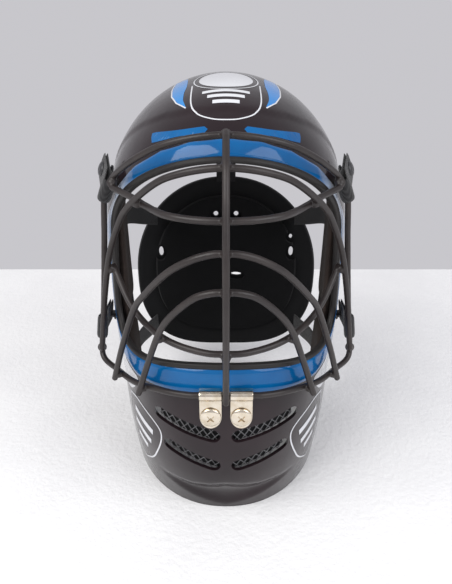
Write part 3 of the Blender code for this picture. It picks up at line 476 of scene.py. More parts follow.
def shell_point(angle, height):
    """A point on the outside of the shell. Angle 0 is the front and 90 degrees is at +X."""
    half_width, front, back, squareness = section(height)
    reach = front if math.cos(angle) > 0 else back
    x = half_width * signed_power(math.sin(angle), 2 / squareness)
    y = -reach * signed_power(math.cos(angle), 2 / squareness)
    if y < 0:
        y += dimple_depth(x, height)
    return Vector((x, y + MIDDLE_Y, height))


def shell_normal(angle, height):
    step = 0.001
    low = min(height, HEIGHT - 3 * step)
    across = shell_point(angle + step, low) - shell_point(angle - step, low)
    up = shell_point(angle, low + step) - shell_point(angle, low - step)
    return across.cross(up).normalized()


def inside_shell(angle, height, inset):
    return shell_point(angle, height) - inset * shell_normal(angle, height)


def angle_at(x, height):
    """The angle at which the front of the shell is x from the plane of symmetry."""
    half_width, _, _, squareness = section(height)
    return math.asin(signed_power(min(1.0, max(-1.0, x / half_width)), squareness / 2))


def angle_toward(point):
    """The angle whose point on the shell at this height has this y."""
    low, high = 0.0, math.pi
    for _ in range(40):
        middle = 0.5 * (low + high)
        if shell_point(middle, point.z).y < point.y:
            low = middle
        else:
            high = middle
    return math.copysign(0.5 * (low + high), point.x)


def in_plan(x, y):
    """The point on the crown over a place in plan."""
    low, high = SPRING_LINE, HEIGHT
    for _ in range(40):
        middle = 0.5 * (low + high)
        half_width, front, back, squareness = section(middle)
        reach = front if y < MIDDLE_Y else back
        across = abs(x) / max(half_width, 1e-9)
        along = abs(y - MIDDLE_Y) / max(reach, 1e-9)
        if across**squareness + along**squareness < 1:
            low = middle
        else:
            high = middle
    return Vector((x, y, low))


def on_side(angle, height):
    """The point on the shell at an angle in degrees."""
    return shell_point(math.radians(angle), height)


def egg(steps, half_width, centre, top, bottom, top_squareness, bottom_squareness):
    outline = []
    for step in range(steps):
        turn = 2 * math.pi * step / steps
        upper = math.sin(turn) >= 0
        squareness = top_squareness if upper else bottom_squareness
        reach = top - centre if upper else centre - bottom
        x = half_width * signed_power(math.cos(turn), 2 / squareness)
        outline.append((x, centre + reach * signed_power(math.sin(turn), 2 / squareness)))
    return outline


def drooped(x, z):
    """A point of the face opening's egg, widened and let down at the lower corners."""
    depth = max(0.0, (FACE_CENTRE - z) / (FACE_CENTRE - FACE_BOTTOM))
    droop = FACE_DROOP * depth * (abs(x) / FACE_HALF_WIDTH) ** FACE_DROOP_POWER
    return x * (1 + FACE_FLARE * depth), z - droop


def face_outline(steps):
    """The face opening's outline in x and z, evenly spaced."""
    squareness = (FACE_TOP_SQUARENESS, FACE_BOTTOM_SQUARENESS)
    shape = egg(1440, FACE_HALF_WIDTH, FACE_CENTRE, FACE_TOP, FACE_BOTTOM, *squareness)
    fine = np.array([drooped(x, z) for x, z in shape])
    fine = np.vstack([fine, fine[:1]])
    along = np.concatenate([[0], np.cumsum(np.linalg.norm(np.diff(fine, axis=0), axis=1))])
    wanted = np.linspace(0, along[-1], steps, endpoint=False)
    return np.stack([np.interp(wanted, along, fine[:, axis]) for axis in (0, 1)], axis=1)


def outline_from_brow(steps):
    """The face opening's outline, starting at its highest point."""
    outline = face_outline(steps)
    return np.roll(outline, -int(np.argmax(outline[:, 1])), axis=0)


def smooth_path(points, spacing):
    """A Catmull-Rom curve through the points, with a point about every spacing along it."""
    knots = [Vector(p) for p in points]
    knots = [2 * knots[0] - knots[1], *knots, 2 * knots[-1] - knots[-2]]
    path = []
    for before, start, end, after in zip(knots, knots[1:], knots[2:], knots[3:]):
        count = max(1, round((end - start).length / spacing))
        for step in range(count):
            u = step / count
            path.append(
                0.5
                * (
                    2 * start
                    + (end - before) * u
                    + (2 * before - 5 * start + 4 * end - after) * u**2
                    + (3 * start - before - 3 * end + after) * u**3
                )
            )
    path.append(knots[-2])
    return path


def smooth_loop(points, spacing, scale=1.0):
    """A smooth closed outline through points on a plane. scale evens out the units of the second number."""
    corners = [Vector((a, scale * b, 0)) for a, b in (*points, points[0])]
    return [(p.x, p.y / scale) for p in smooth_path(corners, spacing)[:-1]]


def both_sides(half):
    return [(-x, y, z) for x, y, z in reversed(half[1:])] + list(half)


def moved_back(points):
    """Points of the cage, whose tables put y = 0 under the crown, in the part's frame."""
    return [Vector((p[0], p[1] + MIDDLE_Y, p[2])) for p in points]


# ---------------------------------------------------------------- mesh builders
def new_object(name, data, *materials):
    made = bpy.data.objects.new(name, data)
    bpy.context.scene.collection.objects.link(made)
    for material in materials:
        data.materials.append(material)
    return made


def grid_mesh(name, rows, closed=False, rows_closed=False):
    """A mesh over rows of points. closed joins each row's ends, rows_closed the last row to the first."""
    columns = len(rows[0])
    points = [tuple(point) for row in rows for point in row]
    faces = []
    for low in range(len(rows) if rows_closed else len(rows) - 1):
        high = (low + 1) % len(rows)
        for i in range(columns if closed else columns - 1):
            j = (i + 1) % columns
            faces.append((low * columns + i, low * columns + j, high * columns + j, high * columns + i))
    data = bpy.data.meshes.new(name)
    data.from_pydata(points, [], faces)
    work = bmesh.new()
    work.from_mesh(data)
    bmesh.ops.remove_doubles(work, verts=work.verts, dist=1e-6)
    bmesh.ops.recalc_face_normals(work, faces=work.faces)
    work.to_mesh(data)
    work.free()
    data.shade_smooth()
    return data


def face_outwards(data, inside):
    """Turns the faces of a mesh away from a point inside it."""
    work = bmesh.new()
    work.from_mesh(data)
    inside = Vector(inside)
    outward = sum(f.normal.dot(f.calc_center_median() - inside) * f.calc_area() for f in work.faces)
    if outward < 0:
        bmesh.ops.reverse_faces(work, faces=work.faces)
    work.to_mesh(data)
    work.free()


def sharpen(target, degrees=35):
    target.data.shade_smooth()
    target.data.set_sharp_from_angle(angle=math.radians(degrees))


def settle(target):
    """Applies every modifier."""
    graph = bpy.context.evaluated_depsgraph_get()
    made = bpy.data.meshes.new_from_object(target.evaluated_get(graph), depsgraph=graph)
    target.modifiers.clear()
    target.data = made


def solidify(target, thickness, offset=-1.0, **settings):
    """Gives a sheet its wall, which settle or cut applies."""
    modifier = target.modifiers.new("Wall", "SOLIDIFY")
    modifier.thickness = thickness
    modifier.offset = offset
    modifier.use_even_offset = True
    for name, value in settings.items():
        setattr(modifier, name, value)


def bevel(target, width, segments, degrees):
    """Rounds the sharp edges and applies it."""
    modifier = target.modifiers.new("Edge", "BEVEL")
    modifier.width = width
    modifier.segments = segments
    modifier.angle_limit = math.radians(degrees)
    settle(target)


def prism(outline, low, high, axis):
    """A closed prism of an outline: x, z pushed along Y, or y, z pushed along X."""
    data = bpy.data.meshes.new("cutter")
    work = bmesh.new()
    if axis == "Y":
        ring = [work.verts.new((a, low, b)) for a, b in outline]
        push = Vector((0, high - low, 0))
    else:
        ring = [work.verts.new((low, a, b)) for a, b in outline]
        push = Vector((high - low, 0, 0))
    cap = work.faces.new(ring)
    extruded = bmesh.ops.extrude_face_region(work, geom=[cap], use_keep_orig=True)
    moved = [item for item in extruded["geom"] if isinstance(item, bmesh.types.BMVert)]
    bmesh.ops.translate(work, verts=moved, vec=push)
    bmesh.ops.recalc_face_normals(work, faces=work.faces)
    work.to_mesh(data)
    work.free()
    return data


def joined(pieces):
    work = bmesh.new()
    for data in pieces:
        work.from_mesh(data)
    made = bpy.data.meshes.new("joined")
    work.to_mesh(made)
    work.free()
    return made


def cut(target, *cutters):
    """Cuts the meshes from the target and applies it."""
    helpers = []
    for data in cutters:
        helper = new_object("cutter", data)
        modifier = target.modifiers.new("Cut", "BOOLEAN")
        modifier.operation = "DIFFERENCE"
        modifier.solver = "EXACT"
        modifier.object = helper
        helpers.append(helper)
    settle(target)
    for helper in helpers:
        bpy.data.objects.remove(helper, do_unlink=True)


def pill(inner, outer, half_height, steps=14):
    """The outline of a slot with round ends."""
    start, end = Vector(inner), Vector(outer)
    heading = math.atan2(end.y - start.y, end.x - start.x)
    outline = []
    for centre, turn in ((end, heading - 0.5 * math.pi), (start, heading + 0.5 * math.pi)):
        for step in range(steps + 1):
            angle = turn + math.pi * step / steps
            spot = centre + half_height * Vector((math.cos(angle), math.sin(angle)))
            outline.append((spot.x, spot.y))
    return outline


def turns_of(steps):
    """Evenly spaced angles for a full turn, in radians."""
    return [2 * math.pi * step / steps for step in range(steps)]


def ellipse(x, z, half_width, half_height, steps=28):
    return [(x + half_width * math.cos(turn), z + half_height * math.sin(turn)) for turn in turns_of(steps)]


def tube_rows(path, radius, sides=14, cyclic=False):
    """Rings of points round a path, kept from twisting."""
    count = len(path)
    rows = []
    reference = Vector((0, 0, 1))
    for i, point in enumerate(path):
        before = path[(i - 1) % count] if cyclic else path[max(i - 1, 0)]
        after = path[(i + 1) % count] if cyclic else path[min(i + 1, count - 1)]
        ahead = (after - before).normalized()
        side = ahead.cross(reference)
        if side.length < 1e-3:
            side = ahead.cross(Vector((1, 0, 0)))
        side.normalize()
        reference = side.cross(ahead).normalized()
        circle = [math.cos(t) * side + math.sin(t) * reference for t in turns_of(sides)]
        rows.append([point + radius * spoke for spoke in circle])
    return rows


def tube_mesh(name, path, radius, sides=14, cyclic=False):
    """A tube with rounded ends."""
    rows = tube_rows(path, radius, sides, cyclic)
    if not cyclic:
        for first, inner, sign in ((0, 1, -1), (-1, -2, 1)):
            ahead = (path[first] - path[inner]).normalized()
            caps = []
            for lift in (0.55, 0.85, 1.0):
                shrink = math.sqrt(max(0.0, 1 - lift**2))
                tip = path[first] + ahead * radius * lift * 0.7
                caps.append([tip + (p - path[first]) * shrink for p in rows[first]])
            rows = [*reversed(caps), *rows] if sign < 0 else [*rows, *caps]
    return grid_mesh(name, rows, closed=True, rows_closed=cyclic)


def ribbon(name, path, across, material):
    """A flat strap along a path, with softly rounded edges."""
    width, thickness, steps = STRAP_WIDTH, STRAP_THICKNESS, 12
    across = Vector(across).normalized()
    rows = []
    for i, point in enumerate(path):
        ahead = (path[min(i + 1, len(path) - 1)] - path[max(i - 1, 0)]).normalized()
        normal = ahead.cross(across).normalized()
        ring = []
        for side in (1, -1):
            for step in range(steps + 1):
                share = side * (1 - 2 * step / steps)
                edge = max(math.sqrt(max(0.0, 1 - abs(share) ** 6)), 0.25)
                ring.append(point + across * share * 0.5 * width + normal * side * 0.5 * thickness * edge)
        rows.append(ring)
    first, last = ([sum(row, Vector()) / len(row)] * len(row) for row in (rows[0], rows[-1]))
    rows = [first, *rows, last]
    made = new_object(name, grid_mesh(name, rows, closed=True), material)
    sharpen(made, 50)
    return made


def turned(name, profile, place, axis, material, steps=48):
    """A profile of (radius, distance along axis) turned once."""
    rotation = Vector((0, 0, 1)).rotation_difference(Vector(axis)).to_matrix()
    rows = []
    for radius, along in profile:
        circle = [Vector((radius * math.cos(t), radius * math.sin(t), along)) for t in turns_of(steps)]
        rows.append([Vector(place) + rotation @ spot for spot in circle])
    made = new_object(name, grid_mesh(name, rows, closed=True), material)
    opposite = steps // 2
    face_outwards(made.data, sum((row[0] + row[opposite] for row in rows), Vector()) / (2 * len(rows)))
    sharpen(made, 40)
    return made


# ---------------------------------------------------------------- shell
def contour_inset(angle, height):
    """How far the forehead is set back below the crown's step."""
    degrees = abs(math.degrees(math.atan2(math.sin(angle), math.cos(angle))))
    below = between(CONTOUR, degrees) - height
    width = 0.0015 + 0.0028 * min(1.0, degrees / 80)
    fade_back = smoothstep((100 - degrees) / 12)
    fade_down = smoothstep((height - 0.246) / 0.02)
    return CONTOUR_DEPTH * smoothstep(below / width) * fade_back * fade_down


def fine_shell_rows():
    around, body_rows, dome_rows = 224, 92, 60
    heights = [-UNDERCUT + (SPRING_LINE + UNDERCUT) * i / body_rows for i in range(body_rows)]
    rise = HEIGHT - SPRING_LINE
    heights += [SPRING_LINE + rise * math.sin(0.5 * math.pi * i / dome_rows) for i in range(dome_rows)]
    rows = []
    for height in heights:
        row = []
        for angle in turns_of(around):
            inset = contour_inset(angle, height)
            row.append(inside_shell(angle, height, inset) if inset else shell_point(angle, height))
        rows.append(row)
    rows.append([Vector((0, MIDDLE_Y, HEIGHT))] * around)
    return rows


def screw_hole(side):
    """A cutter for the chin screw's hole."""
    return prism(ellipse(side * CLIP_X, CLIP_SCREW_Z, SCREW_HOLE_RADIUS, SCREW_HOLE_RADIUS), *FACE_CUT, "Y")


def make_shell(materials):
    """The shell with all its openings. Returns its uncut outer skin, which the paint is laid on."""
    data = grid_mesh("mask_shell", fine_shell_rows(), closed=True)
    face_outwards(data, (0, MIDDLE_Y, SPRING_LINE))
    corners = [vertex.co.copy() for vertex in data.vertices]
    skin = BVHTree.FromPolygons(corners, [tuple(face.vertices) for face in data.polygons])
    shell = new_object("mask_shell", data, materials["shell"], materials["lining"])
    solidify(shell, WALL, material_offset=1, material_offset_rim=0)
    back = [(p.x + MIDDLE_Y, p.y) for p in smooth_path([Vector((y, z, 0)) for y, z in BACK_EDGE], 0.004)]
    back += [(0.33, BACK_EDGE[-1][1]), (0.33, BACK_EDGE[0][1])]
    under = [(-0.2, -0.05), (0.25, -0.05), (0.25, 0.0), (-0.2, 0.0)]
    slots = []
    for inner, outer in VENTS.values():
        for side in (1, -1):
            outline = pill((side * inner[0], inner[1]), (side * outer[0], outer[1]), VENT_HALF_HEIGHT)
            slots.append(prism(outline, *FACE_CUT, "Y"))
    slots += [screw_hole(side) for side in (1, -1)]
    cut(
        shell,
        prism(face_outline(220), -0.30, 0.0, "Y"),
        prism(back, -0.20, 0.20, "X"),
        prism(under, -0.25, 0.25, "X"),
        joined(slots),
    )
    sharpen(shell)
    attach(shell, "mask")
    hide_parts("shell")
    return skin


def lifted(skin, point, lift):
    """The point on the skin nearest to a point, raised by lift."""
    place, normal, _, _ = skin.find_nearest(point)
    return place + normal * lift


# ---------------------------------------------------------------- painted shapes
def decal(name, outline, onto, skin, material, lift=0.00016, pitch=0.0022):
    """A painted patch: a flat outline filled with fine triangles and laid on the shell by onto."""
    corners = [Vector(p) for p in outline]
    spots = [onto(*p) for p in corners]
    edge = []
    for i, corner in enumerate(corners):
        after = corners[(i + 1) % len(corners)]
        count = max(1, round((spots[(i + 1) % len(spots)] - spots[i]).length / pitch))
        edge += [corner.lerp(after, k / count) for k in range(count)]
    low = Vector((min(p.x for p in corners), min(p.y for p in corners)))
    high = Vector((max(p.x for p in corners), max(p.y for p in corners)))
    steps = max(2, round(0.8 * max((a - b).length for a in spots for b in spots) / pitch))
    inner = []
    for i in range(1, steps):
        for j in range(1, steps):
            spot = Vector((low.x + (high.x - low.x) * i / steps, low.y + (high.y - low.y) * j / steps))
            if all((spot - p).length > 1e-6 for p in edge):
                inner.append(spot)
    ring = [(i, (i + 1) % len(edge)) for i in range(len(edge))]
    points, _, faces, *_ = geometry.delaunay_2d_cdt([*edge, *inner], ring, [], 1, 1e-7)
    data = bpy.data.meshes.new(name)
    data.from_pydata([tuple(lifted(skin, onto(*p), lift)) for p in points], [], [tuple(f) for f in faces])
    data.shade_smooth()
    face_outwards(data, (0, MIDDLE_Y, 0.18))
    return new_object(name, data, material)


def stroke(name, line, onto, skin, width, material, closed=False, lift=0.00024, pitch=0.0015):
    """A painted line of even width."""
    corners = [onto(*p) for p in line]
    if closed:
        corners.append(corners[0])
    path = []
    for start, end in zip(corners, corners[1:]):
        count = max(1, round((end - start).length / pitch))
        path += [start.lerp(end, k / count) for k in range(count)]
    if not closed:
        path.append(corners[-1])
    places = [skin.find_nearest(p)[:2] for p in path]
    rows = []
    for i, (place, normal) in enumerate(places):
        before = places[(i - 1) % len(places)][0] if closed or i else place
        after = places[(i + 1) % len(places)][0] if closed or i < len(places) - 1 else place
        aside = normal.cross((after - before).normalized()).normalized()
        rows.append([lifted(skin, place + aside * width * s, lift) for s in (-0.5, 0.0, 0.5)])
    data = grid_mesh(name, rows, rows_closed=closed)
    face_outwards(data, (0, MIDDLE_Y, 0.18))
    return new_object(name, data, material)


def merged(name, pieces):
    """Several objects joined into one, keeping their materials."""
    with bpy.context.temp_override(
        active_object=pieces[0], object=pieces[0], selected_objects=pieces, selected_editable_objects=pieces
    ):
        bpy.ops.object.join()
    pieces[0].name = name
    return pieces[0]


def make_graphics(materials, skin):
    """All the painted marks as one piece: printed graphics, and white lower corners that are partly paint
    and partly a painted reflection.
    """
    white, blue = materials["white"], materials["light_blue"]
    pieces = []
    for side in (1, -1):
        def on_side_of(angle, height, side=side):
            return on_side(side * angle, height)

        def plan_side(x, y, side=side):
            return in_plan(side * x, y)

        strip = smooth_loop(BLUE_STRIP, 2.0, 1000)
        pieces.append(decal("strip", strip, on_side_of, skin, materials["blue"]))
        # White lower corner: partly silver paint, partly a painted reflection of the bright room in the
        # glossy corner.
        pieces.append(decal("corner", smooth_loop(WHITE_CORNER, 2.0, 1000), on_side_of, skin, white))
        pieces.append(decal("swoosh", smooth_loop(SWOOSH, 0.003), plan_side, skin, blue))
        pieces.append(stroke("swoosh_edge", SWOOSH[:5], plan_side, skin, 0.0011, white))
        mark = smooth_loop(SIDE_MARK, 1.5, 1000)
        pieces.append(stroke("mark", mark, on_side_of, skin, 0.0015, white, closed=True))
        for bar in SIDE_MARK_BARS:
            pieces.append(stroke("bar", bar, on_side_of, skin, 0.0062, white))
    frame_line = [(-x, y) for x, y in CROWN_FRAME] + [(x, y) for x, y in reversed(CROWN_FRAME[:-1])]
    frame_line = [(p.x, p.y) for p in smooth_path([Vector((x, y, 0)) for x, y in frame_line], 0.003)]
    pieces.append(stroke("crown_line", frame_line, in_plan, skin, 0.0011, white))
    for bar in CROWN_BARS:
        pieces.append(stroke("crown_bar", bar, in_plan, skin, 0.0046, white))
    disc = ellipse(0.0, CROWN_DISC_Y, 0.0215, 0.0260, 60)
    pieces.append(decal("crown_disc", disc, in_plan, skin, white))
    ring = ellipse(0.0, CROWN_DISC_Y, 0.0255, 0.0300, 72)
    pieces.append(stroke("crown_ring", ring, in_plan, skin, 0.0010, white, closed=True))
    graphics = merged("graphics_and_painted_reflection", pieces)
    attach(graphics, "mask")


def way_round(step, steps):
    """Share of the way from the brow to the chin, the same on both sides."""
    return 1 - abs(1 - 2 * step / steps)


def opening_rim(share_steps):
    """Points round the opening's edge: share of the way from brow to chin, angle in degrees, height."""
    outline = outline_from_brow(share_steps)
    rim = []
    for i, (x, z) in enumerate(outline):
        share = way_round(i, share_steps)
        ahead = outline[(i + 1) % share_steps] - outline[i - 1]
        outward = Vector((ahead[1], -ahead[0])).normalized() * (between(TRIM_LAP, share) - 0.0008)
        rim.append((share, math.degrees(angle_at(x + outward.x, z + outward.y)), z + outward.y))
    return rim


def make_ridge(materials, skin):
    """The raised band round the opening, painted blue with silver white at its sides; the silver white is
    partly paint and partly a painted reflection.
    """
    blue_steps, white_steps = 10, 6
    rows, blue_shares = [], []
    for share, angle, height in opening_rim(320):
        side = 1 if angle >= 0 else -1
        outer_angle = side * between(RIDGE_OUTER, share, 1)
        outer_height = between(RIDGE_OUTER, share, 2)
        blue = between(BLUE_SHARE, share)
        row = []
        for step in range(blue_steps + white_steps + 1):
            if step <= blue_steps:
                across = blue * step / blue_steps
            else:
                across = blue + (1 - blue) * (step - blue_steps) / white_steps
            lift = RIDGE_LIFT * smoothstep((across + 0.02) / 0.12) * smoothstep((1 - across) / 0.16)
            spot = on_side(angle + (outer_angle - angle) * across, height + (outer_height - height) * across)
            row.append(lifted(skin, spot, lift - 0.0001))
        rows.append(row)
        blue_shares.append(blue)
    data = bpy.data.meshes.new("face_ridge")
    columns = len(rows[0])
    faces, indices = [], []
    for i in range(len(rows)):
        j = (i + 1) % len(rows)
        for k in range(columns - 1):
            if k >= blue_steps and min(blue_shares[i], blue_shares[j]) > 0.995:
                continue
            faces.append((i * columns + k, i * columns + k + 1, j * columns + k + 1, j * columns + k))
            indices.append(0 if k < blue_steps else 1)
    data.from_pydata([tuple(p) for row in rows for p in row], [], faces)
    data.polygons.foreach_set("material_index", indices)
    data.shade_smooth()
    face_outwards(data, (0, MIDDLE_Y, 0.22))
    # The second material, silver white, is partly paint and partly a painted reflection.
    ridge = new_object("face_ridge", data, materials["blue"], materials["white"])
    sharpen(ridge, 60)
    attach(ridge, "mask")


def make_trim(materials):
    """The rubber bead that wraps the edge of the face opening."""
    steps = 360
    outline = outline_from_brow(steps)
    rows = []
    for i, (x, z) in enumerate(outline):
        lap = between(TRIM_LAP, way_round(i, steps))
        over = ((lap, -0.0001), (lap - 0.0002, 0.0006), (lap - 0.0006, 0.0009), (0.5 * lap, 0.0011))
        ahead = Vector(outline[(i + 1) % len(outline)]) - Vector(outline[i - 1])
        outward = Vector((ahead.y, -ahead.x)).normalized()
        row = []
        for away, up in (*over, *TRIM_WRAP):
            px, pz = x + outward.x * away, z + outward.y * away
            angle = angle_at(px, pz)
            row.append(shell_point(angle, pz) + up * shell_normal(angle, pz))
        rows.append(row)
    data = grid_mesh("opening_trim", rows, closed=True, rows_closed=True)
    trim = new_object("opening_trim", data, materials["rubber"])
    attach(trim, "mask")
    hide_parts("face_opening_trim")


def make_vent_meshes(materials):
    """Fine crossed wires behind each vent, with a black sheet behind them: painted shade for the dark inside
    of the mask seen through the vents.
    """
    pitch, lean, wire_radius = 0.0068, 1.30, 0.00040
    side_margin, reach = 0.0060, VENT_HALF_HEIGHT + 0.0028
    wire_depth, crimp, sheet_depth = WALL + 0.0017, 0.00022, WALL + 0.0032
    wire_steps, sheet_steps, sheet_rows = 10, 16, 4
    for row, (inner, outer) in VENTS.items():
        slope = (outer[1] - inner[1]) / (outer[0] - inner[0])
        low_x, high_x = inner[0] - side_margin, outer[0] + side_margin

        def behind_vent(side, x, up, depth, inner=inner, slope=slope):
            z = inner[1] + slope * (x - inner[0]) + up
            return inside_shell(angle_at(side * x, z), z, depth)

        for side, hand in SIDES:
            pieces = []
            for family in (1, -1):
                start = low_x - 2 * side_margin
                while start < high_x + 2 * side_margin:
                    path = []
                    for step in range(wire_steps + 1):
                        up = -reach + 2 * reach * step / wire_steps
                        x = start + family * up / lean
                        if low_x <= x <= high_x:
                            path.append(behind_vent(side, x, up, wire_depth + crimp * family))
                    if len(path) > 2:
                        pieces.append(tube_mesh("mesh_wire", path, wire_radius, 7))
                    start += pitch
            # The black sheet behind the wires is painted shade, where the mask's dark inside shows through
            # the vents.
            sheet = []
            for step in range(sheet_rows + 1):
                up = reach * (2 * step / sheet_rows - 1)
                places = [low_x + (high_x - low_x) * k / sheet_steps for k in range(sheet_steps + 1)]
                sheet.append([behind_vent(side, x, up, sheet_depth) for x in places])
            name = f"vent_wires_{row}_{hand}"
            wires = new_object(name, joined(pieces), materials["mesh"])
            wires.data.shade_smooth()
            shade_sheet = new_object("painted_shade_sheet", grid_mesh("painted_shade_sheet", sheet), materials["black_foam"])
            vent = merged(name, [wires, shade_sheet])
            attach(vent, "mask")
            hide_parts(f"vent_mesh_{row}_{hand}")


# ---------------------------------------------------------------- padding
def crowned_pad(name, spots, normals, material, thickness, closed=False):
    """A foam pad over a grid of spots: square-cut sides with soft edges, swelling a little in the middle."""
    last_row, last_column = len(spots) - 1, len(spots[0]) - (0 if closed else 1)
    outer, inner = [], []
    for i, row in enumerate(spots):
        outer_row, inner_row = [], []
        for j, spot in enumerate(row):
            u = 2 * i / last_row - 1
            v = 0.0 if closed else 2 * j / last_column - 1
            if closed:
                u = i / last_row
            edge = (1 - abs(u) ** 14) * (1 - abs(v) ** 14)
            swell = 0.86 + 0.14 * (1 - u * u) * (1 - v * v)
            depth = thickness * swell * max(0.0, edge) ** 0.5
            outer_row.append(spot - normals[i][j] * 0.5 * (thickness * 0.86 - depth * 0.86))
            inner_row.append(spot - normals[i][j] * max(depth, 0.45 * thickness))
        outer.append(outer_row)
        inner.append(inner_row)
    work = bmesh.new()
    sheets = [[[work.verts.new(p) for p in row] for row in sheet] for sheet in (outer, inner)]
    columns = len(spots[0])
    for index, sheet in enumerate(sheets):
        for low, high in zip(sheet, sheet[1:]):
            for j in range(columns if closed else columns - 1):
                k = (j + 1) % columns
                face = (low[j], low[k], high[k], high[j])
                work.faces.new(face if index else (face[0], *reversed(face[1:])))
    borders = [[(last_row, j) for j in range(columns)]]
    if not closed:
        borders = [
            [(0, j) for j in range(columns)],
            [(i, columns - 1) for i in range(last_row + 1)],
            [(last_row, j) for j in reversed(range(columns))],
            [(i, 0) for i in reversed(range(last_row + 1))],
        ]
    for border in borders:
        loop = [*border, border[0]] if closed else border
        for (a, b), (c, d) in zip(loop, loop[1:]):
            work.faces.new((sheets[0][a][b], sheets[0][c][d], sheets[1][c][d], sheets[1][a][b]))
    bmesh.ops.remove_doubles(work, verts=work.verts, dist=1e-6)
    bmesh.ops.recalc_face_normals(work, faces=work.faces)
    data = bpy.data.meshes.new(name)
    work.to_mesh(data)
    work.free()
    pad = new_object(name, data, material)
    modifier = pad.modifiers.new("Soft", "SUBSURF")
    modifier.levels = 1
    modifier.render_levels = 1
    settle(pad)
    pad.data.shade_smooth()
    return pad


def fit_pad(pad, node):
    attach(pad, "mask")
    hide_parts(node)


def make_pad(node, angles, heights, grid, material, side=1, thickness=PAD_THICKNESS, inset=PAD_INSET):
    """A pad on the inside of the shell between two angles in degrees and two heights."""
    rows, columns = grid
    spots, normals = [], []
    for i in range(rows + 1):
        height = heights[0] + (heights[1] - heights[0]) * i / rows
        spot_row, normal_row = [], []
        for j in range(columns + 1):
            angle = side * math.radians(angles[0] + (angles[1] - angles[0]) * j / columns)
            spot_row.append(inside_shell(angle, height, inset))
            normal_row.append(shell_normal(angle, height))
        spots.append(spot_row)
        normals.append(normal_row)
    fit_pad(crowned_pad(f"soft_{node}", spots, normals, material, thickness), node)


def make_crown_pad(material):
    around, rings = 64, 14
    low = HEIGHT - 0.014
    spots, normals = [], []
    for ring in range(rings + 1):
        height = low + (HEIGHT - 0.0012 - low) * math.sin(0.5 * math.pi * (1 - ring / rings))
        angles = turns_of(around)
        if ring == 0:
            spots.append([Vector((0, MIDDLE_Y, HEIGHT - PAD_INSET - 0.0004))] * around)
            normals.append([Vector((0, 0, 1))] * around)
            continue
        spots.append([inside_shell(angle, height, PAD_INSET) for angle in angles])
        normals.append([shell_normal(angle, height) for angle in angles])
    fit_pad(crowned_pad("soft_crown_pad", spots, normals, material, PAD_THICKNESS, closed=True), "crown_pad")


def make_padding(materials):
    material = materials["brown_foam"]
    make_pad("forehead_pad", (-44, 44), (0.3145, 0.3310), (8, 44), material)
    make_crown_pad(material)
    for side, hand in SIDES:
        make_pad(f"temple_pad_{hand}", (66, 95), (0.140, 0.292), (48, 18), material, side=side)
        make_pad(f"jaw_pad_{hand}", (44, 95), (0.060, 0.126), (24, 34), material, side=side)
    chin = {"thickness": 0.007, "inset": PAD_INSET + 0.0030}
    make_pad("chin_pad", (-32, 32), (0.014, 0.042), (12, 40), material, **chin)


# ---------------------------------------------------------------- cage
def frame_path(spacing):
    """The frame wire's closed loop, smooth through its ends too."""
    loop = both_sides(list(FRAME_WIRE))[:-1]
    path = smooth_path([*loop[-2:], *loop, *loop[:3]], spacing)
    first = min(range(len(path)), key=lambda i: (path[i] - Vector(loop[0])).length)
    last = max(i for i in range(len(path)) if (path[i] - Vector(loop[0])).length < 1e-5)
    return path[first:last]


def crossings(paths):
    """Middles of the places where two wires touch, and how far apart the wires' axes are there."""
    found = []
    for i, first in enumerate(paths):
        for second in paths[i + 1 :]:
            a, b = np.array(first), np.array(second)
            apart = np.linalg.norm(a[:, None] - b[None], axis=2)
            nearest = apart.min(axis=1)
            for k in np.flatnonzero(nearest < 2 * WIRE_RADIUS + 0.0030):
                window = nearest[max(0, k - 6) : k + 7]
                if nearest[k] > window.min() + 1e-9:
                    continue
                spot = Vector(0.5 * (a[k] + b[apart[k].argmin()]))
                if all((spot - other).length > 0.012 for other, _ in found):
                    found.append((spot, float(nearest[k])))
    return found


def make_cage(materials):
    """All the cage's wires welded into one piece, with a bead of weld at every crossing."""
    spacing = 0.003
    frame_wire = moved_back(frame_path(spacing))
    open_wires = [both_sides(wire) for wire in (OVAL_WIRE, BROW_WIRE, UPPER_ARCH, LOWER_ARCH, VEE_WIRE)]
    open_wires.append([(0, y, z) for y, z in CENTRE_WIRE])
    paths = [moved_back(smooth_path(wire, spacing)) for wire in open_wires]
    tubes = [tube_mesh("wire", frame_wire, WIRE_RADIUS, 16, cyclic=True)]
    tubes += [tube_mesh("wire", path, WIRE_RADIUS, 16) for path in paths]
    for spot, apart in crossings([frame_wire, *paths]):
        bead = bmesh.new()
        bmesh.ops.create_icosphere(bead, subdivisions=3, radius=WIRE_RADIUS * 0.72 + 0.30 * apart)
        bmesh.ops.translate(bead, verts=bead.verts, vec=spot)
        data = bpy.data.meshes.new("bead")
        bead.to_mesh(data)
        bead.free()
        tubes.append(data)
    cage = new_object("welded_cage", joined(tubes), materials["wire"])
    remesh = cage.modifiers.new("Weld", "REMESH")
    remesh.mode = "VOXEL"
    remesh.voxel_size = 0.00075
    remesh.use_smooth_shade = True
    smooth = cage.modifiers.new("Fillet", "SMOOTH")
    smooth.factor = 0.5
    smooth.iterations = 4
    settle(cage)
    cage.data.shade_smooth()
    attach(cage, "cage")
    wires = ("frame", "oval", "brow", "upper_arch", "lower_arch", "vee", "centre")
    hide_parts(*(f"cage_{wire}_wire" for wire in wires))


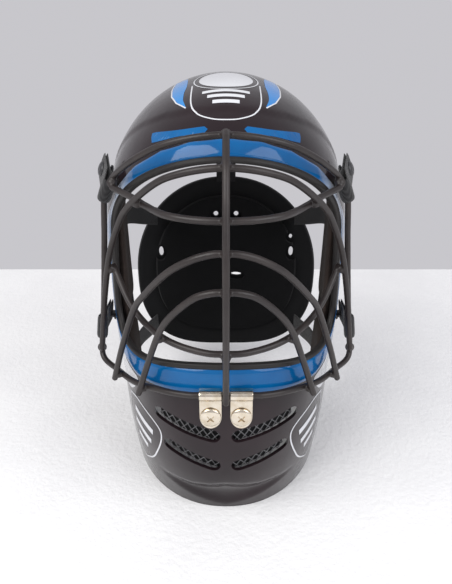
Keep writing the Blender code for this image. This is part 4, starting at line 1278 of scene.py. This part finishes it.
def make_clip(side, hand, material):
    """A bent sheet clip: a lip above the frame wire, a saddle over it, and a tongue under the screw.

    Returns the y of the tongue's outer face, where the screw's head sits.
    """
    surface = shell_point(0.0, CLIP_SCREW_Z).y - 0.0003 - 0.5 * CLIP_SHEET
    hinge_y = HINGE_Y + MIDDLE_Y
    saddle = WIRE_RADIUS + 0.0004 + 0.5 * CLIP_SHEET
    path = [(hinge_y + 0.0035, HINGE_Z + saddle), (hinge_y + 0.0017, HINGE_Z + saddle)]
    for step in range(21):
        turn = math.pi * step / 20
        path.append((hinge_y - saddle * math.sin(turn), HINGE_Z + saddle * math.cos(turn)))
    path[-1] = (hinge_y - 0.2 * saddle, HINGE_Z - saddle - 0.0004)
    path.append((0.5 * (path[-1][0] + surface), HINGE_Z - saddle - 0.0013))
    path += [(surface, HINGE_Z - saddle - 0.0024), (surface, HINGE_Z - saddle - 0.0050)]
    path.append((surface, CLIP_SCREW_Z))
    widths = [CLIP_WIDTH] * len(path)
    for step in range(1, 17):
        turn = 0.5 * math.pi * step / 16.4
        path.append((surface, CLIP_SCREW_Z - 0.0115 * math.sin(turn)))
        widths.append(CLIP_WIDTH * math.cos(turn))
    rows = []
    for (y, z), width in zip(path, widths):
        rows.append([Vector((side * CLIP_X + 0.5 * width * k / 6, y, z)) for k in range(-6, 7)])
    clip = new_object(f"j_clip_{hand}", grid_mesh("j_clip", rows), material)
    solidify(clip, CLIP_SHEET, offset=0.0)
    cut(clip, screw_hole(side))
    bevel(clip, 0.00022, 2, 55)
    sharpen(clip, 50)
    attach(clip, "mask")
    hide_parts(f"chin_clip_{hand}")
    return surface - 0.5 * CLIP_SHEET


def make_screw(side, hand, seat, material):
    """A truss-head screw with a four-winged recess."""
    radius, height, brim = SCREW_HEAD_RADIUS, SCREW_HEAD_HEIGHT, 0.0008
    quarter = np.linspace(0.0, 0.5 * math.pi, 14)
    dome = [(radius * math.cos(t), brim + (height - brim) * math.sin(t)) for t in quarter]
    under = [(radius, 0.0002), (radius - 0.0003, 0.0), (SCREW_SHANK_RADIUS, 0.0)]
    shank = [(SCREW_SHANK_RADIUS, -SCREW_LENGTH), (0.0, -SCREW_LENGTH)]
    place = (side * CLIP_X, seat - 0.0003, CLIP_SCREW_Z)
    profile = [*reversed(dome), *under, *shank]
    screw = turned(f"truss_screw_{hand}", profile, place, (0, -1, 0), material, 64)
    face = place[1] - height
    wing_reach, wing_half_width = 0.0037, 0.00085
    blades = []
    for tilt in (0.25 * math.pi, 0.75 * math.pi):
        along = Vector((math.cos(tilt), math.sin(tilt)))
        aside = Vector((-along.y, along.x))
        shape = ((1, 0.5), (0.35, 1), (-0.35, 1), (-1, 0.5), (-1, -0.5), (-0.35, -1), (0.35, -1), (1, -0.5))
        corners = [along * a * wing_reach + aside * b * wing_half_width for a, b in shape]
        wing = [(place[0] + c.x, place[2] + c.y) for c in corners]
        blades.append(prism(wing, face - 0.002, face + 0.0018, "Y"))
    cut(screw, *blades)
    sharpen(screw, 40)
    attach(screw, "mask")
    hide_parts(f"chin_screw_{hand}")


# ---------------------------------------------------------------- straps and snaps
def frame_wire_at(height):
    """The place on the frame wire's side at a height."""
    path = moved_back(smooth_path(FRAME_WIRE, 0.004))
    for low, high in zip(path, path[1:]):
        if low.y > -0.07 + MIDDLE_Y and (low.z - height) * (high.z - height) <= 0:
            return low.lerp(high, (height - low.z) / (high.z - low.z))
    raise ValueError(f"the frame wire has no side at {height}")


def make_cage_strap(place, hand, side, height, snap_x, slack, materials):
    """A strap folded round the frame wire, its two layers snapped together behind it."""
    gap = 0.0003
    material = materials["strap_along"]
    half_width = 0.5 * STRAP_WIDTH
    spots = [frame_wire_at(height + offset) for offset in (half_width, -half_width, 0.0)]
    top, bottom, middle = (Vector((side * p.x, p.y, p.z)) for p in spots)
    across = (top - bottom).normalized()
    wire_at = (top + bottom + 2 * middle) / 4
    snap_at = Vector((side * snap_x, wire_at.y + SNAP_DISTANCE, wire_at.z))
    back = snap_at - wire_at
    back = (back - across * back.dot(across)).normalized()
    snap_at = wire_at + back * SNAP_DISTANCE
    outside = back.cross(across) * side
    loop = WIRE_RADIUS + slack + 0.5 * STRAP_THICKNESS
    stack = 0.5 * STRAP_THICKNESS + gap
    tail, start = snap_at + back * SNAP_TAIL, snap_at - back * SNAP_LEAD
    path = [tail - outside * stack, snap_at - outside * stack, start - outside * stack]
    for step in range(17):
        turn = -0.5 * math.pi - math.pi * step / 16
        path.append(wire_at + back * loop * math.cos(turn) + outside * loop * math.sin(turn))
    path += [start + outside * stack, snap_at + outside * stack, tail + outside * stack]
    strap = ribbon(f"webbing_{place}_{hand}", path, across, material)
    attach(strap, "cage")
    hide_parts(f"cage_strap_{place}_{hand}")
    clear = stack + 0.5 * STRAP_THICKNESS + gap
    cap_at = snap_at + outside * clear
    cap = turned(f"snap_button_{place}_{hand}", SNAP_PROFILE, cap_at, outside, materials["snap"])
    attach(cap, "cage")
    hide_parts(f"snap_cap_{place}_{hand}")


def make_harness_strap(name, node, path, across, start, end, material):
    strap = ribbon(name, path, across, material)
    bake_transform(strap)
    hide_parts(node)


def make_harness(materials):
    """Four side straps and a top strap, from inside the shell to the front face of the back plate."""
    forward = PLATE_WALL + LINER_LEAD + STRAP_THICKNESS
    for level, (start_z, end_x, end_z) in HARNESS_STRAPS.items():
        for side, hand in SIDES:
            anchor_angle = angle_toward(Vector((side, 0.016 + MIDDLE_Y, start_z)))
            leave_angle = angle_toward(Vector((side, 0.036 + MIDDLE_Y, start_z)))
            anchor = inside_shell(anchor_angle, start_z, WALL + 0.5 * STRAP_THICKNESS + 0.0006)
            leave = inside_shell(leave_angle, start_z, WALL + 0.0016)
            end = plate_point(side * end_x, end_z, forward)
            path = smooth_path([anchor, leave, leave.lerp(end, 0.55), end], 0.003)
            names = (f"elastic_{level}_{hand}", f"harness_strap_{level}_{hand}")
            make_harness_strap(*names, path, (0, 0, 1), leave, end, materials["strap_along"])
    inset = WALL + 0.5 * STRAP_THICKNESS + 0.0012
    along_crown = [inside_shell(math.pi, height, inset) for height in (0.320, 0.312, 0.304)]
    leave = along_crown[-1] + Vector((0, 0.0005, -0.0060))
    top = plate_point(0.0, PLATE_CENTRE_Z + 0.96 * PLATE_HALF_HEIGHT, forward)
    path = smooth_path([*along_crown, leave, leave.lerp(top, 0.5) + Vector((0, 0.004, 0)), top], 0.003)
    names = ("elastic_top", "harness_strap_top")
    make_harness_strap(*names, path, (1, 0, 0), leave, top, materials["strap_up"])


# ---------------------------------------------------------------- back plate
def plate_point(x, z, forward=0.0):
    across = x / PLATE_HALF_WIDTH
    up = (z - PLATE_CENTRE_Z) / PLATE_HALF_HEIGHT
    y = PLATE_BACK_Y - PLATE_SIDE_SWEEP * across**2 - PLATE_END_SWEEP * up**2 - forward
    return Vector((x, y + MIDDLE_Y, z))


def make_plate(name, node, shrink, forward, thickness, margin, edge, material):
    """The back plate or its liner: its share of the plate's outline, its lead and the holes' margin."""
    around, rings = 128, 26
    rows = []
    half_height = PLATE_HALF_HEIGHT * shrink
    squareness = (PLATE_TOP_SQUARENESS, PLATE_BOTTOM_SQUARENESS)
    outline = egg(around, PLATE_HALF_WIDTH * shrink, 0.0, half_height, -half_height, *squareness)
    for ring in range(rings, 0, -1):
        part = ring / rings
        rows.append([plate_point(part * x, PLATE_CENTRE_Z + part * up, forward) for x, up in outline])
    rows.append([plate_point(0.0, PLATE_CENTRE_Z, forward)] * around)
    data = grid_mesh(name, rows, closed=True)
    face_outwards(data, (0, -0.5, PLATE_CENTRE_Z))
    plate = new_object(name, data, material)
    solidify(plate, thickness)
    holes = [ellipse(x, z, wide + margin, high + margin) for x, z, wide, high in PLATE_HOLES]
    cut(plate, joined([prism(hole, 0.05, 0.19, "Y") for hole in holes]))
    bevel(plate, edge, 3, 60)
    sharpen(plate, 45)
    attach(plate, "back_plate_on_harness")
    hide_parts(node)
    return plate


# ---------------------------------------------------------------- stage, light and camera
def make_stage():
    """A pale rough table. Past its far edge the plain backdrop is the world's own colour."""
    side, near, far = 3.0, -3.0, 0.385
    material = new_material("pale_floor", Specular_IOR_Level=0.25)
    n = Nodes(material)
    n.colour(n.blend(n.span(n.noise(9.0, 6.0), 0.3, 0.7), (0.84, 0.84, 0.845), (0.90, 0.90, 0.90)))
    n.rough(n.span(n.noise(40.0), 0.3, 0.7, 0.75, 0.9))
    n.bump(n.noise(170.0, 6.0, 0.6), 0.5, 0.0022)
    rows = [[Vector((x, y, 0.0)) for x in (-side, side)] for y in (near, far)]
    new_object("stage_floor", grid_mesh("stage_floor", rows), material)


def add_area_light(name, place, target, size, power, colour):
    data = bpy.data.lights.new(name, "AREA")
    data.shape = "RECTANGLE"
    data.size, data.size_y = size
    data.energy = power
    data.color = colour
    light = bpy.data.objects.new(name, data)
    bpy.context.scene.collection.objects.link(light)
    light.location = place
    light.rotation_mode = "QUATERNION"
    light.rotation_quaternion = (Vector(target) - Vector(place)).to_track_quat("-Z", "Y")


def make_lights():
    """Two large soft lights in an evenly lit pale room, shown without a film-like tone curve."""
    aim = (0, 0, 0.2)
    add_area_light("key", (-1.10, -0.95, 1.50), aim, (1.6, 1.3), 30.0, (1.0, 0.99, 0.97))
    add_area_light("fill", (1.25, -0.95, 1.20), aim, (1.4, 1.3), 18.0, (0.97, 0.98, 1.0))
    world = bpy.data.worlds.new("soft_room")
    world.use_nodes = True
    background = world.node_tree.nodes["Background"]
    background.inputs["Color"].default_value = (0.96, 0.95, 1.0, 1.0)
    background.inputs["Strength"].default_value = 0.60
    bpy.context.scene.world = world
    bpy.context.scene.view_settings.view_transform = "Standard"


def make_camera():
    """The photograph's view: 28 degrees above level, 0.6 m from the mask."""
    elevation, distance, focal_px, long_side_px = 28.0, 0.600, 660.0, 584
    target = Vector((0, 0.0003, 0.165))
    tilt = math.radians(elevation)
    back = Vector((0, -math.cos(tilt), math.sin(tilt)))
    data = bpy.data.cameras.new("camera")
    data.sensor_width = 36.0
    data.lens = data.sensor_width * focal_px / long_side_px
    camera = bpy.data.objects.new("camera", data)
    bpy.context.scene.collection.objects.link(camera)
    camera.location = target + back * distance
    camera.rotation_mode = "QUATERNION"
    camera.rotation_quaternion = (-back).to_track_quat("-Z", "Y")
    bpy.context.scene.camera = camera


def carry_over(materials):
    """CAD nodes that show as they are get their own finish."""
    for node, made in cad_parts.items():
        for start, finish in (("chin_nut", "steel"), ("snap_stud", "snap")):
            if node.startswith(start):
                made.data.materials.clear()
                made.data.materials.append(materials[finish])


# ---------------------------------------------------------------- assembly
make_camera()
make_lights()
make_stage()
palette = make_materials()
outer_skin = make_shell(palette)
make_ridge(palette, outer_skin)
make_graphics(palette, outer_skin)
make_trim(palette)
make_vent_meshes(palette)
make_padding(palette)
make_cage(palette)
for clip_side, clip_hand in SIDES:
    clip_face = make_clip(clip_side, clip_hand, palette["nickel"])
    make_screw(clip_side, clip_hand, clip_face, palette["nickel"])
    for strap_place, strap_sizes in CAGE_STRAPS.items():
        make_cage_strap(strap_place, clip_hand, clip_side, *strap_sizes, palette)
make_harness(palette)
plate_sizes = (1.0, 0.0, PLATE_WALL, 0.0, 0.0006)
back_plate = make_plate("moulded_back_plate", "back_plate", *plate_sizes, palette["plate"])
liner_lead = PLATE_WALL + LINER_LEAD
liner_sizes = (LINER_SHARE, liner_lead, LINER_THICKNESS, LINER_HOLE_MARGIN, 0.0015)
liner = make_plate("soft_plate_liner", "back_plate_liner", *liner_sizes, palette["black_foam"])
carry_over(palette)
